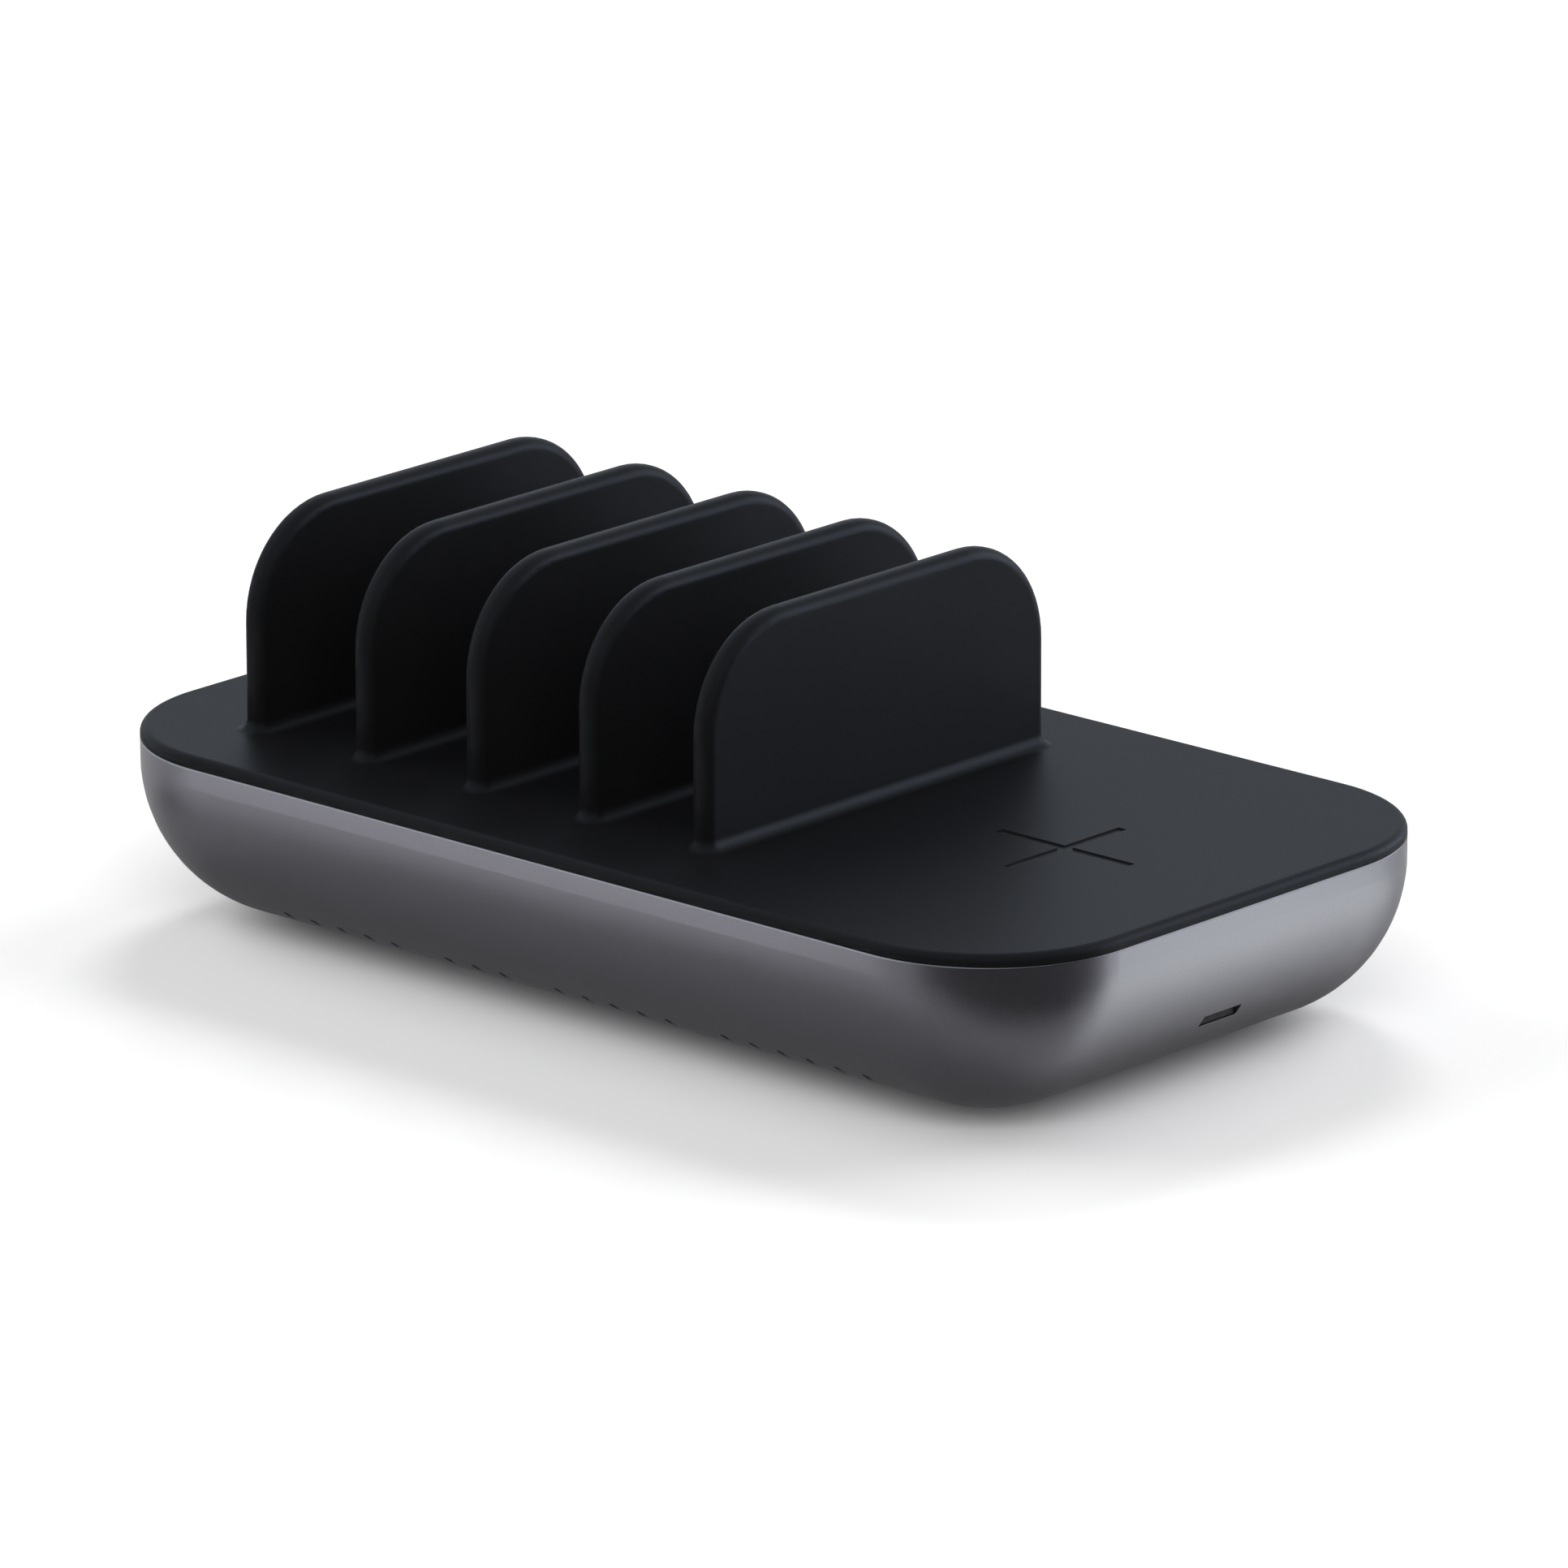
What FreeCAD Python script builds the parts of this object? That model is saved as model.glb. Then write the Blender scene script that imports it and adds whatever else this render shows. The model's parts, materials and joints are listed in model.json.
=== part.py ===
import FreeCAD, Part
import Sketcher
import math
import os
import re

Vector = FreeCAD.Vector

# Driving sizes, in millimetres
# +X runs to the charging pad, -Y is the near long side, +Z is up, and the floor is at zero
SIZES = {
    # Outer form
    "body_length": 190.0,
    "body_width": 107.0,
    "corner_radius": 25.5,
    "shell_height": 28.2,
    "belly_radius": 25.0,
    "belly_room": 0.3,
    "shell_wall": 2.0,
    "shell_edge": 0.3,
    "foot_drop": 1.2,
    # Top moulding
    "rim_height": 1.85,
    "rim_round": 1.3,
    "rim_flat": 0.3,
    "skin_thickness": 1.1,
    "skirt_thickness": 0.9,
    "deck_thickness": 2.0,
    "lip_depth": 1.8,
    "lip_thickness": 1.5,
    "lip_fit": 0.2,
    # Dividers
    "fin_count": 5,
    "fin_pitch": 23.15,
    "fin_setback": 23.45,
    "fin_thickness": 3.9,
    "fin_length": 75.7,
    "fin_height": 34.25,
    "fin_corner": 17.3,
    "fin_round": 1.75,
    "fin_flat": 0.1,
    "fin_root": 1.9,
    "fin_skin": 1.0,
    # Plus mark sunk in the pad
    "mark_shift": 1.0,
    "mark_length": 26.0,
    "mark_width": 1.6,
    "mark_depth": 0.3,
    # Vent slots
    "vent_pitch": 5.64,
    "vent_width": 1.2,
    "vent_inset": 9.75,
    "vent_run": 2.4,
    "vent_reach": 12.0,
    # Base cover, set into a rebate under the shell
    "base_inset": 6.0,
    "base_corner": 6.0,
    "base_ledge": 3.0,
    "base_flange": 1.0,
    "base_rise": 1.0,
    "base_fit": 0.2,
    # Feet
    "foot_length": 18.0,
    "foot_width": 9.0,
    "foot_sunk": 0.6,
    "foot_round": 0.5,
    "foot_inset_x": 13.0,
    "foot_inset_y": 7.0,
    "foot_fit": 0.1,
    # Deck posts and the screws that come up through the base cover
    "post_radius": 3.0,
    "post_inset": 6.0,
    "post_spacing": 62.0,
    "screw_radius": 1.1,
    "screw_length": 9.0,
    "screw_head_radius": 2.2,
    "screw_head_height": 1.3,
    "screw_head_sunk": 1.6,
    "screw_cross_length": 2.6,
    "screw_cross_width": 0.7,
    "screw_cross_depth": 0.8,
    "pilot_fit": 0.1,
    "pilot_spare": 1.0,
    "passage_fit": 0.3,
    # Circuit boards and their screws
    "board_thickness": 1.6,
    "board_corner": 1.5,
    "board_gap": 0.8,
    "boss_radius": 2.5,
    "tack_radius": 0.9,
    "tack_length": 4.0,
    "tack_head_radius": 1.9,
    "tack_head_height": 1.2,
    "tack_cross_length": 2.2,
    "tack_cross_width": 0.6,
    "tack_cross_depth": 0.7,
    # Port board and its sockets
    "port_drop": 8.9,
    "port_recess": 1.7,
    "port_fit": 0.15,
    "port_board_margin": 12.0,
    "port_board_depth": 26.0,
    "port_board_side": 5.0,
    "port_screw_inset": 14.0,
    "port_screw_side": 4.0,
    "socket_wall": 0.3,
    "socket_core_fit": 0.05,
    "usb_a_width": 13.1,
    "usb_a_height": 5.7,
    "usb_a_depth": 14.0,
    "usb_a_corner": 0.8,
    "usb_a_back": 3.5,
    "usb_a_tongue_width": 11.1,
    "usb_a_tongue_height": 1.84,
    "usb_a_tongue_rise": 0.95,
    "usb_a_tongue_reach": 9.0,
    "usb_c_width": 8.94,
    "usb_c_height": 3.26,
    "usb_c_depth": 9.0,
    "usb_c_back": 3.0,
    "usb_c_stand": 1.5,
    "usb_c_tongue_width": 6.7,
    "usb_c_tongue_height": 0.7,
    "usb_c_tongue_reach": 5.0,
    "port_chip_side": 7.0,
    "port_chip_height": 1.0,
    # Power board and the mains inlet
    "power_board_setback": 11.0,
    "power_board_side": 11.5,
    "power_screw_inset": 5.0,
    "inlet_width": 21.0,
    "inlet_height": 13.0,
    "inlet_depth": 19.5,
    "inlet_corner": 1.0,
    "inlet_gap": 1.2,
    "inlet_recess": 0.2,
    "inlet_fit": 0.15,
    "inlet_brow": 0.6,
    "nose_width": 17.4,
    "nose_height": 9.8,
    "lobe_radius": 4.1,
    "lobe_pitch": 7.4,
    "waist_height": 6.6,
    "recess_depth": 13.0,
    "pin_radius": 1.18,
    "pin_pitch": 8.6,
    "pin_length": 10.5,
    # Parts of the mains supply, placed from the edges of their board
    "part_gap": 1.8,
    "fuse_radius": 2.6,
    "fuse_length": 20.0,
    "fuse_side": 6.0,
    "choke_radius": 6.0,
    "choke_thickness": 3.0,
    "choke_rear": 15.5,
    "choke_gap": 3.5,
    "line_cap_length": 15.0,
    "line_cap_width": 8.0,
    "line_cap_height": 13.0,
    "line_cap_rear": 31.0,
    "line_cap_side": 3.0,
    "bridge_length": 20.0,
    "bridge_width": 4.0,
    "bridge_height": 11.0,
    "bulk_radius": 8.0,
    "bulk_bevel": 0.8,
    "bulk_rear": 41.0,
    "bulk_side": 3.0,
    "sink_rear": 53.0,
    "sink_wall": 2.0,
    "sink_height": 13.0,
    "sink_fin_count": 6,
    "sink_fin_wall": 1.2,
    "sink_fin_depth": 5.0,
    "switch_width": 10.0,
    "switch_depth": 4.0,
    "switch_height": 12.0,
    "switch_rear": 6.0,
    "core_length": 24.0,
    "core_width": 12.0,
    "core_height": 15.0,
    "core_limb": 4.0,
    "core_front": 9.5,
    "winding_side": 2.0,
    "winding_width": 20.0,
    "winding_fit": 0.2,
    "out_cap_radius": 3.2,
    "out_cap_height": 12.0,
    "out_cap_bevel": 0.5,
    "out_cap_front": 13.5,
    "out_cap_side": 4.6,
    "out_cap_pitch": 6.8,
    "link_length": 12.0,
    "link_height": 2.5,
    "link_bite": 4.0,
    "link_rear": 66.0,
    "sheet_thickness": 0.4,
    "sheet_margin": 3.0,
    # Wireless charger under the pad
    "coil_bore": 4.0,
    "coil_wire": 1.1,
    "coil_pitch": 1.7,
    "ferrite_margin": 0.5,
    "ferrite_thickness": 1.0,
    "tray_margin": 1.5,
    "tray_window": 3.5,
    "tray_gap": 6.0,
    "wireless_setback": 12.0,
    "wireless_gap": 2.0,
    "wireless_edge": 1.0,
    "wireless_screw_inset": 3.5,
    "wireless_chip_side": 6.0,
    "wireless_chip_height": 1.0,
    "wireless_chip_inset": 10.0,
    "ribbon_width": 6.0,
    "ribbon_thickness": 0.3,
    "ribbon_bite": 6.0,
    "ribbon_side": 5.5,
    # Status lamp and the light pipe in the shell's lamp slot
    "lamp_length": 8.4,
    "lamp_height": 1.8,
    "lamp_drop": 17.7,
    "lamp_fit": 0.1,
    "lamp_recess": 0.9,
    "lamp_inset": 3.5,
    "lamp_gap": 0.3,
    "pipe_thickness": 3.0,
    "chip_length": 3.0,
    "chip_width": 2.0,
    "chip_height": 1.1,
}

# Sizes and places that follow from the driving sizes
PLACES = {
    # Levels
    "parting_z": "foot_drop + shell_height",
    "deck_top_z": "parting_z + rim_height",
    "deck_upper_z": "deck_top_z - skin_thickness",
    "rim_edge": "min(rim_round; rim_height - rim_flat)",
    "deck_under_z": "deck_upper_z - deck_thickness",
    "belly_z": "foot_drop + belly_round",
    "cover_top_z": "foot_drop + shell_wall + base_rise",
    "port_z": "parting_z - port_drop",
    "board_under_z": "port_z + usb_a_height / 2",
    "board_top_z": "board_under_z + board_thickness",
    # Shell
    "belly_most": "min(shell_height - shell_edge; corner_radius) - belly_room",
    "belly_round": "min(belly_radius; belly_most)",
    "half_length": "body_length / 2",
    "half_width": "body_width / 2",
    "belly_x": "half_length - belly_round",
    "cavity_length": "body_length - 2 * shell_wall",
    "cavity_width": "body_width - 2 * shell_wall",
    "cavity_corner": "corner_radius - shell_wall",
    "vent_y": "half_width - vent_inset - vent_run / 2",
    # Base cover and feet
    "rebate_length": "body_length - 2 * belly_round - 2 * base_inset",
    "rebate_width": "body_width - 2 * belly_round - 2 * base_inset",
    "hatch_length": "rebate_length - 2 * base_ledge",
    "hatch_width": "rebate_width - 2 * base_ledge",
    "hatch_corner": "base_corner - base_ledge",
    "flange_length": "rebate_length - 2 * base_fit",
    "flange_width": "rebate_width - 2 * base_fit",
    "flange_corner": "base_corner - base_fit",
    "plug_length": "hatch_length - 2 * base_fit",
    "plug_width": "hatch_width - 2 * base_fit",
    "plug_corner": "hatch_corner - base_fit",
    "foot_x": "rebate_length / 2 - foot_inset_x",
    "foot_y": "rebate_width / 2 - foot_inset_y",
    "foot_seat_length": "foot_length + 2 * foot_fit",
    "foot_seat_width": "foot_width + 2 * foot_fit",
    # Deck plate
    "flange_deck_length": "body_length - 2 * skirt_thickness",
    "flange_deck_width": "body_width - 2 * skirt_thickness",
    "flange_deck_corner": "corner_radius - skirt_thickness",
    "lip_length": "cavity_length - 2 * lip_fit",
    "lip_width": "cavity_width - 2 * lip_fit",
    "lip_corner": "cavity_corner - lip_fit",
    "lip_inner_length": "lip_length - 2 * lip_thickness",
    "lip_inner_width": "lip_width - 2 * lip_thickness",
    "lip_inner_corner": "lip_corner - lip_thickness",
    # Dividers, as the skin shows them and as the blades inside them
    "fin_first_x": "fin_setback - half_length",
    "fin_span": "fin_pitch * (fin_count - 1)",
    "fin_profile": "rim_height + fin_height",
    "fin_edge": "min(fin_round; fin_thickness / 2 - fin_flat)",
    "blade_thickness": "fin_thickness - 2 * fin_skin",
    "blade_length": "fin_length - 2 * fin_skin",
    "blade_profile": "deck_top_z + fin_height - fin_skin - deck_under_z",
    "blade_corner": "fin_corner - fin_skin",
    "pad_rear_x": "fin_first_x + fin_span + fin_thickness / 2",
    "mark_x": "(pad_rear_x + half_length) / 2 + mark_shift",
    # Port board
    "port_first_x": "fin_first_x + fin_pitch / 2",
    "port_mouth_y": "half_width - port_recess",
    "port_board_length": "3 * fin_pitch + 2 * port_board_margin",
    "port_board_x": "port_first_x + 1.5 * fin_pitch",
    "port_board_y": "half_width - port_board_side - port_board_depth / 2",
    "board_front_x": "port_board_x + port_board_length / 2",
    "usb_a_inner_width": "usb_a_width - 2 * socket_wall",
    "usb_a_inner_height": "usb_a_height - 2 * socket_wall",
    "usb_a_inner_corner": "usb_a_corner - socket_wall",
    "usb_a_cut_width": "usb_a_width + 2 * port_fit",
    "usb_a_cut_height": "usb_a_height + 2 * port_fit",
    "usb_c_inner_width": "usb_c_width - 2 * socket_wall",
    "usb_c_inner_height": "usb_c_height - 2 * socket_wall",
    "usb_c_cut_width": "usb_c_width + 2 * port_fit",
    "usb_c_cut_height": "usb_c_height + 2 * port_fit",
    "port_screw_rear_x": "port_board_x - port_board_length / 2 + port_screw_inset",
    "port_screw_front_x": "board_front_x - port_screw_inset",
    "port_screw_y": "port_board_y - port_board_depth / 2 + port_screw_side",
    # Posts
    "post_y": "rebate_width / 2 - post_inset",
    "post_front_x": "board_front_x + board_gap + post_radius",
    "post_rear_x": "post_front_x - post_spacing",
    "head_seat_z": "foot_drop + screw_head_sunk",
    # Power board and inlet
    "power_rear_x": "power_board_setback - half_length",
    "power_near_y": "power_board_side - half_width",
    "power_board_length": "board_front_x - power_rear_x",
    "power_board_width": "post_y - post_radius - board_gap - power_near_y",
    "power_board_x": "power_rear_x + power_board_length / 2",
    "power_board_y": "power_near_y + power_board_width / 2",
    "power_screw_rear_x": "power_rear_x + power_screw_inset",
    "power_screw_front_x": "board_front_x - power_screw_inset",
    "power_screw_near_y": "power_near_y + power_screw_inset",
    "power_screw_far_y": "power_near_y + power_board_width - power_screw_inset",
    "inlet_z": "board_under_z - inlet_height / 2",
    "nose_z": "board_under_z - inlet_brow - nose_height / 2",
    "inlet_drop": "belly_z - board_under_z + inlet_height",
    "inlet_front_x": "inlet_gap - belly_x - sqrt((belly_round - shell_wall) ^ 2 - inlet_drop ^ 2)",
    "nose_drop": "belly_z - nose_z + nose_height / 2",
    "nose_front_x": "inlet_recess - belly_x - sqrt(belly_round ^ 2 - nose_drop ^ 2)",
    "nose_length": "inlet_front_x - nose_front_x",
    "nose_cut_width": "nose_width + 2 * inlet_fit",
    "nose_cut_height": "nose_height + 2 * inlet_fit",
    # Supply parts
    "power_far_y": "power_near_y + power_board_width",
    "fuse_x": "inlet_front_x + inlet_depth + part_gap",
    "fuse_y": "power_far_y - fuse_side",
    "bridge_y": "fuse_y - fuse_radius - part_gap - bridge_width / 2",
    "choke_x": "power_rear_x + choke_rear",
    "choke_y": "-(inlet_width / 2 + choke_gap + choke_radius + choke_thickness)",
    "line_cap_x": "power_rear_x + line_cap_rear",
    "line_cap_y": "power_near_y + line_cap_side + line_cap_length / 2",
    "core_x": "board_front_x - core_front - core_length / 2",
    "core_y": "power_near_y + winding_side + winding_width / 2",
    "bulk_x": "power_rear_x + bulk_rear",
    "bulk_y": "power_near_y + bulk_side + bulk_radius",
    "bulk_length": "core_x - core_length / 2 - part_gap - bulk_x",
    "out_cap_x": "board_front_x - out_cap_front",
    "out_cap_y": "power_far_y - out_cap_side",
    "sink_x": "power_rear_x + sink_rear",
    "sink_y": "power_far_y - link_bite - part_gap - sink_wall - sink_fin_depth",
    "sink_length": "out_cap_x - out_cap_radius - part_gap - sink_x",
    # Wireless charger
    "wireless_rear_x": "post_front_x + post_radius + wireless_gap",
    "wireless_front_x": "half_length - wireless_setback",
    "wireless_board_length": "wireless_front_x - wireless_rear_x",
    "wireless_board_x": "(wireless_front_x + wireless_rear_x) / 2",
    "wireless_board_width": "2 * (wireless_screw_y + boss_radius + wireless_edge)",
    "wireless_screw_x": "wireless_rear_x + wireless_screw_inset",
    "ribbon_y": "port_board_y - port_board_depth / 2 + ribbon_side",
    "wireless_screw_y": "ribbon_y + ribbon_width / 2 + part_gap + boss_radius",
    "tray_radius": "half_length - mark_x - tray_gap",
    "ferrite_radius": "tray_radius - tray_margin",
    "coil_outer": "ferrite_radius - ferrite_margin - coil_wire",
    "coil_z": "deck_under_z - coil_wire",
    "ferrite_z": "coil_z - ferrite_thickness",
    "tray_thickness": "ferrite_z - board_top_z",
    # Light pipe
    "lamp_z": "parting_z - lamp_drop",
    "status_x": "wireless_front_x - lamp_inset",
    "pipe_length": "lamp_length - 2 * lamp_fit",
    "pipe_height": "lamp_height - 2 * lamp_fit",
    "pipe_top_z": "board_under_z - chip_height - lamp_gap",
    "pipe_rear_x": "status_x - pipe_thickness / 2",
    "belly_drop": "belly_z - lamp_z",
    "pipe_front_x": "belly_x + sqrt(belly_round ^ 2 - belly_drop ^ 2) - lamp_recess",
}

# Vent slots along one even pitch, with a dot for each place left out
VENTS = "ooooo.ooo.ooooo.oooooo"

# Sockets from the rear slot to the front one
SOCKETS = ("usb_a_1", "usb_a_2", "usb_c_1", "usb_c_2")

# Distance under which two measures count as the same
NEAR = 1e-4

doc = FreeCAD.newDocument("charging_station")
sizes_sheet = doc.addObject("Spreadsheet::Sheet", "Sizes")
places_sheet = doc.addObject("Spreadsheet::Sheet", "Places")
scratch_sheet = doc.addObject("Spreadsheet::Sheet", "Scratch")
parts = []


def formula(text, own_sheet=None):
    """Writes a formula of plain names as an expression on the two sheets."""
    def owner(match):
        name = match.group()
        if name in SIZES:
            return "Sizes." + name
        if name in PLACES and own_sheet is not places_sheet:
            return "Places." + name
        return name
    return re.sub(r"[a-z][a-z0-9_]*", owner, text)


def fill_sheet(sheet, rows):
    """Writes one named cell per row."""
    for number, (name, content) in enumerate(rows, start=1):
        sheet.set(f"A{number}", name)
        sheet.set(f"B{number}", content)
        sheet.setAlias(f"B{number}", name)


fill_sheet(sizes_sheet, [(name, str(value)) for name, value in SIZES.items()])
fill_sheet(places_sheet, [(name, "=" + formula(text, places_sheet)) for name, text in PLACES.items()])
doc.recompute()


def size(text):
    """The present value of a named size or of a formula of names."""
    scratch_sheet.set("A1", "=" + formula(text))
    scratch_sheet.recompute()
    return float(scratch_sheet.get("A1"))


def bind(thing, formulas):
    """Ties properties of an object to the sheets."""
    for path, text in formulas.items():
        thing.setExpression(path, formula(text))
    return thing


def name_part(thing, label):
    """Makes an object one of the finished pieces."""
    thing.Label = label
    parts.append(thing)
    return thing


def new_body(name):
    return doc.addObject("PartDesign::Body", name + "_body")


def origin_feature(body, role):
    return next(item for item in body.Origin.OriginFeatures if item.Role == role)


def line(x0, y0, x1, y1):
    return Part.LineSegment(Vector(x0, y0, 0), Vector(x1, y1, 0))


def arc(x, y, radius, start, sweep):
    """Arc about a centre from a start angle, counterclockwise; angles in quarter turns."""
    circle = Part.Circle(Vector(x, y, 0), Vector(0, 0, 1), radius)
    return Part.ArcOfCircle(circle, start * math.pi / 2, (start + sweep) * math.pi / 2)


class Outline:
    """A sketch on one of a body's planes; its curves and dimensions are collected and solved once."""

    def __init__(self, body, role, place=("0", "0", "0")):
        self.sketch = body.newObject("Sketcher::SketchObject", "outline")
        self.sketch.AttachmentSupport = [(origin_feature(body, role), "")]
        self.sketch.MapMode = "FlatFace"
        for axis, text in zip("xyz", place):
            bind(self.sketch, {"AttachmentOffset.Base." + axis: text})
        self.curves = []
        self.constraints = []
        self.formulas = {}

    def hold(self, *constraint):
        self.constraints.append(Sketcher.Constraint(*constraint))

    def measure(self, text, *constraint):
        """Adds a dimension tied to a formula."""
        self.formulas[len(self.constraints)] = text
        self.hold(*constraint, size(text))

    def place_point(self, curve, point, x, y):
        """Ties a point of a curve to its distances from the sketch's origin."""
        self.measure(x, "DistanceX", -1, 1, curve, point)
        self.measure(y, "DistanceY", -1, 1, curve, point)

    def add(self, curves, link="Tangent"):
        """Adds curves that follow each other into a closed outline; returns their numbers."""
        first = len(self.curves)
        count = len(curves)
        self.curves.extend(curves)
        numbers = [first + step for step in range(count)]
        for step, number in enumerate(numbers):
            self.hold(link, number, 2, numbers[(step + 1) % count], 1)
        return numbers

    def rounded_rectangle(self, length, width, radius, x="0", y="0"):
        a = size(length) / 2
        b = size(width) / 2
        r = size(radius)
        u = size(x)
        v = size(y)
        low, c1, right, c2, high, c3, left, c4 = self.add([
            line(u + r - a, v - b, u + a - r, v - b),
            arc(u + a - r, v + r - b, r, 3, 1),
            line(u + a, v + r - b, u + a, v + b - r),
            arc(u + a - r, v + b - r, r, 0, 1),
            line(u + a - r, v + b, u + r - a, v + b),
            arc(u + r - a, v + b - r, r, 1, 1),
            line(u - a, v + b - r, u - a, v + r - b),
            arc(u + r - a, v + r - b, r, 2, 1),
        ])
        for side in (low, high):
            self.hold("Horizontal", side)
        for side in (right, left):
            self.hold("Vertical", side)
        for corner in (c2, c3):
            self.hold("Equal", c1, corner)
        self.measure(radius, "Radius", c1)
        self.measure(length, "DistanceX", left, 1, right, 2)
        self.measure(width, "DistanceY", low, 1, high, 2)
        self.place_point(c4, 3, f"{x} - {length} / 2 + {radius}", f"{y} - {width} / 2 + {radius}")
        return self

    def round_ended(self, length, width, x="0", y="0", upright=False):
        """Slot with half-round ends, along the sketch's X axis or upright."""
        half = (size(length) - size(width)) / 2
        r = size(width) / 2
        u = size(x)
        v = size(y)
        turn = 1 if upright else 0

        def spot(along, across):
            return (u - across, v + along) if upright else (u + along, v + across)

        side, end_1, _, end_2 = self.add([
            line(*spot(-half, -r), *spot(half, -r)),
            arc(*spot(half, 0), r, 3 + turn, 2),
            line(*spot(half, r), *spot(-half, r)),
            arc(*spot(-half, 0), r, 1 + turn, 2),
        ])
        self.hold("Vertical" if upright else "Horizontal", side)
        self.hold("Equal", end_1, end_2)
        self.measure(f"{width} / 2", "Radius", end_1)
        self.measure(f"{length} - {width}", "DistanceY" if upright else "DistanceX", end_2, 3, end_1, 3)
        reach = f"({length} - {width}) / 2"
        self.place_point(end_1, 3, x if upright else f"{x} + {reach}", f"{y} + {reach}" if upright else y)
        return self

    def circles(self, radius, places):
        for x, y in places:
            number = len(self.curves)
            self.curves.append(Part.Circle(Vector(size(x), size(y), 0), Vector(0, 0, 1), size(radius)))
            self.measure(radius, "Radius", number)
            self.place_point(number, 3, x, y)
        return self

    def polygon(self, corners):
        spots = [(size(x), size(y)) for x, y in corners]
        sides = [line(*spot, *spots[(step + 1) % len(spots)]) for step, spot in enumerate(spots)]
        for side, (x, y) in zip(self.add(sides, "Coincident"), corners):
            self.place_point(side, 1, x, y)
        return self

    def draw(self):
        self.sketch.addGeometry(self.curves, False)
        self.sketch.addConstraint(self.constraints)
        for index, text in self.formulas.items():
            self.sketch.setExpression(f"Constraints[{index}]", formula(text))
        return self.sketch


def pad(body, outline, length):
    feature = body.newObject("PartDesign::Pad", "pad")
    feature.Profile = outline.draw()
    return bind(feature, {"Length": length})


def pocket(body, outline, depth, along_normal=False):
    """Cuts against the sketch's normal, or along it."""
    feature = body.newObject("PartDesign::Pocket", "pocket")
    feature.Profile = outline.draw()
    feature.Reversed = along_normal
    return bind(feature, {"Length": depth})


def round_edges(body, chosen, radius):
    """Rounds every edge of the body that the test picks."""
    doc.recompute()
    base = body.Tip
    names = [f"Edge{i}" for i, edge in enumerate(base.Shape.Edges, start=1) if chosen(edge.BoundBox)]
    feature = body.newObject("PartDesign::Fillet", "fillet")
    feature.Base = (base, names)
    return bind(feature, {"Radius": radius})


def hollow(body, level, wall):
    """Leaves an even wall inside the body, open at its face at a named height."""
    doc.recompute()
    base = body.Tip
    top = size(level)
    names = [f"Face{i}" for i, face in enumerate(base.Shape.Faces, start=1)
             if abs(face.BoundBox.ZMin - top) < NEAR]
    feature = body.newObject("PartDesign::Thickness", "hollow")
    feature.Base = (base, names)
    feature.Reversed = True
    return bind(feature, {"Value": wall})


def row_along_x(body, original, span, count):
    """Repeats a feature along X."""
    feature = body.newObject("PartDesign::LinearPattern", "row")
    feature.Originals = [original]
    feature.Direction = (origin_feature(body, "X_Axis"), [""])
    bind(feature, {"Length": span, "Occurrences": count})
    body.Tip = feature
    return feature


def mirror_across_y(body, originals):
    """Repeats features on the other long side."""
    feature = body.newObject("PartDesign::Mirrored", "mirrored")
    feature.Originals = originals
    feature.MirrorPlane = (origin_feature(body, "XZ_Plane"), [""])
    body.Tip = feature
    return feature


def box(low, lengths):
    """Plain block from its low corner."""
    block = doc.addObject("Part::Box", "block")
    bind(block, dict(zip(("Length", "Width", "Height"), lengths)))
    return bind(block, {"Placement.Base." + axis: text for axis, text in zip("xyz", low)})


def cylinder(radius, height, foot, axis=Vector(0, 0, 1)):
    """Plain cylinder along an axis from the centre of its first face."""
    rod = doc.addObject("Part::Cylinder", "rod")
    rod.Placement = FreeCAD.Placement(Vector(), FreeCAD.Rotation(Vector(0, 0, 1), axis))
    bind(rod, {"Radius": radius, "Height": height})
    return bind(rod, {"Placement.Base." + letter: text for letter, text in zip("xyz", foot)})


def join(shapes):
    fusion = doc.addObject("Part::MultiFuse", "union")
    fusion.Shapes = shapes
    fusion.Refine = True
    return fusion


def cut(base, tool):
    difference = doc.addObject("Part::Cut", "difference")
    difference.Base = base
    difference.Tool = tool
    return difference


def group(shapes):
    """Separate solids that share one node."""
    compound = doc.addObject("Part::Compound", "group")
    compound.Links = shapes
    return compound


def is_circle(edge):
    return edge.Curve.TypeId == "Part::GeomCircle"


def at_level(bounds, level):
    """True for an edge that lies wholly at a height."""
    return abs(bounds.ZMin - level) < NEAR and abs(bounds.ZMax - level) < NEAR


POSTS = [(x, y) for x in ("post_rear_x", "post_front_x") for y in ("-post_y", "post_y")]
PORT_SCREWS = [("port_screw_rear_x", "port_screw_y"), ("port_screw_front_x", "port_screw_y")]
POWER_SCREWS = [
    ("power_screw_rear_x", "power_screw_near_y"),
    ("power_screw_front_x", "power_screw_near_y"),
    ("power_screw_front_x", "power_screw_far_y"),
]
WIRELESS_SCREWS = [("wireless_screw_x", "-wireless_screw_y"), ("wireless_screw_x", "wireless_screw_y")]
FEET = {
    f"foot_{end}_{side}": (x, y)
    for end, x in (("rear", "-foot_x"), ("front", "foot_x"))
    for side, y in (("near", "-foot_y"), ("far", "foot_y"))
}


def port_x(number):
    return f"(port_first_x + {number} * fin_pitch)"


def at_outer_rim(bounds):
    """Tells whether an edge lies on the outer side of the shell's rim."""
    inside = size("shell_wall") / 2
    end = max(bounds.XMax, -bounds.XMin) > size("half_length") - inside
    side = max(bounds.YMax, -bounds.YMin) > size("half_width") - inside
    return at_level(bounds, size("parting_z")) and (end or side)


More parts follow.
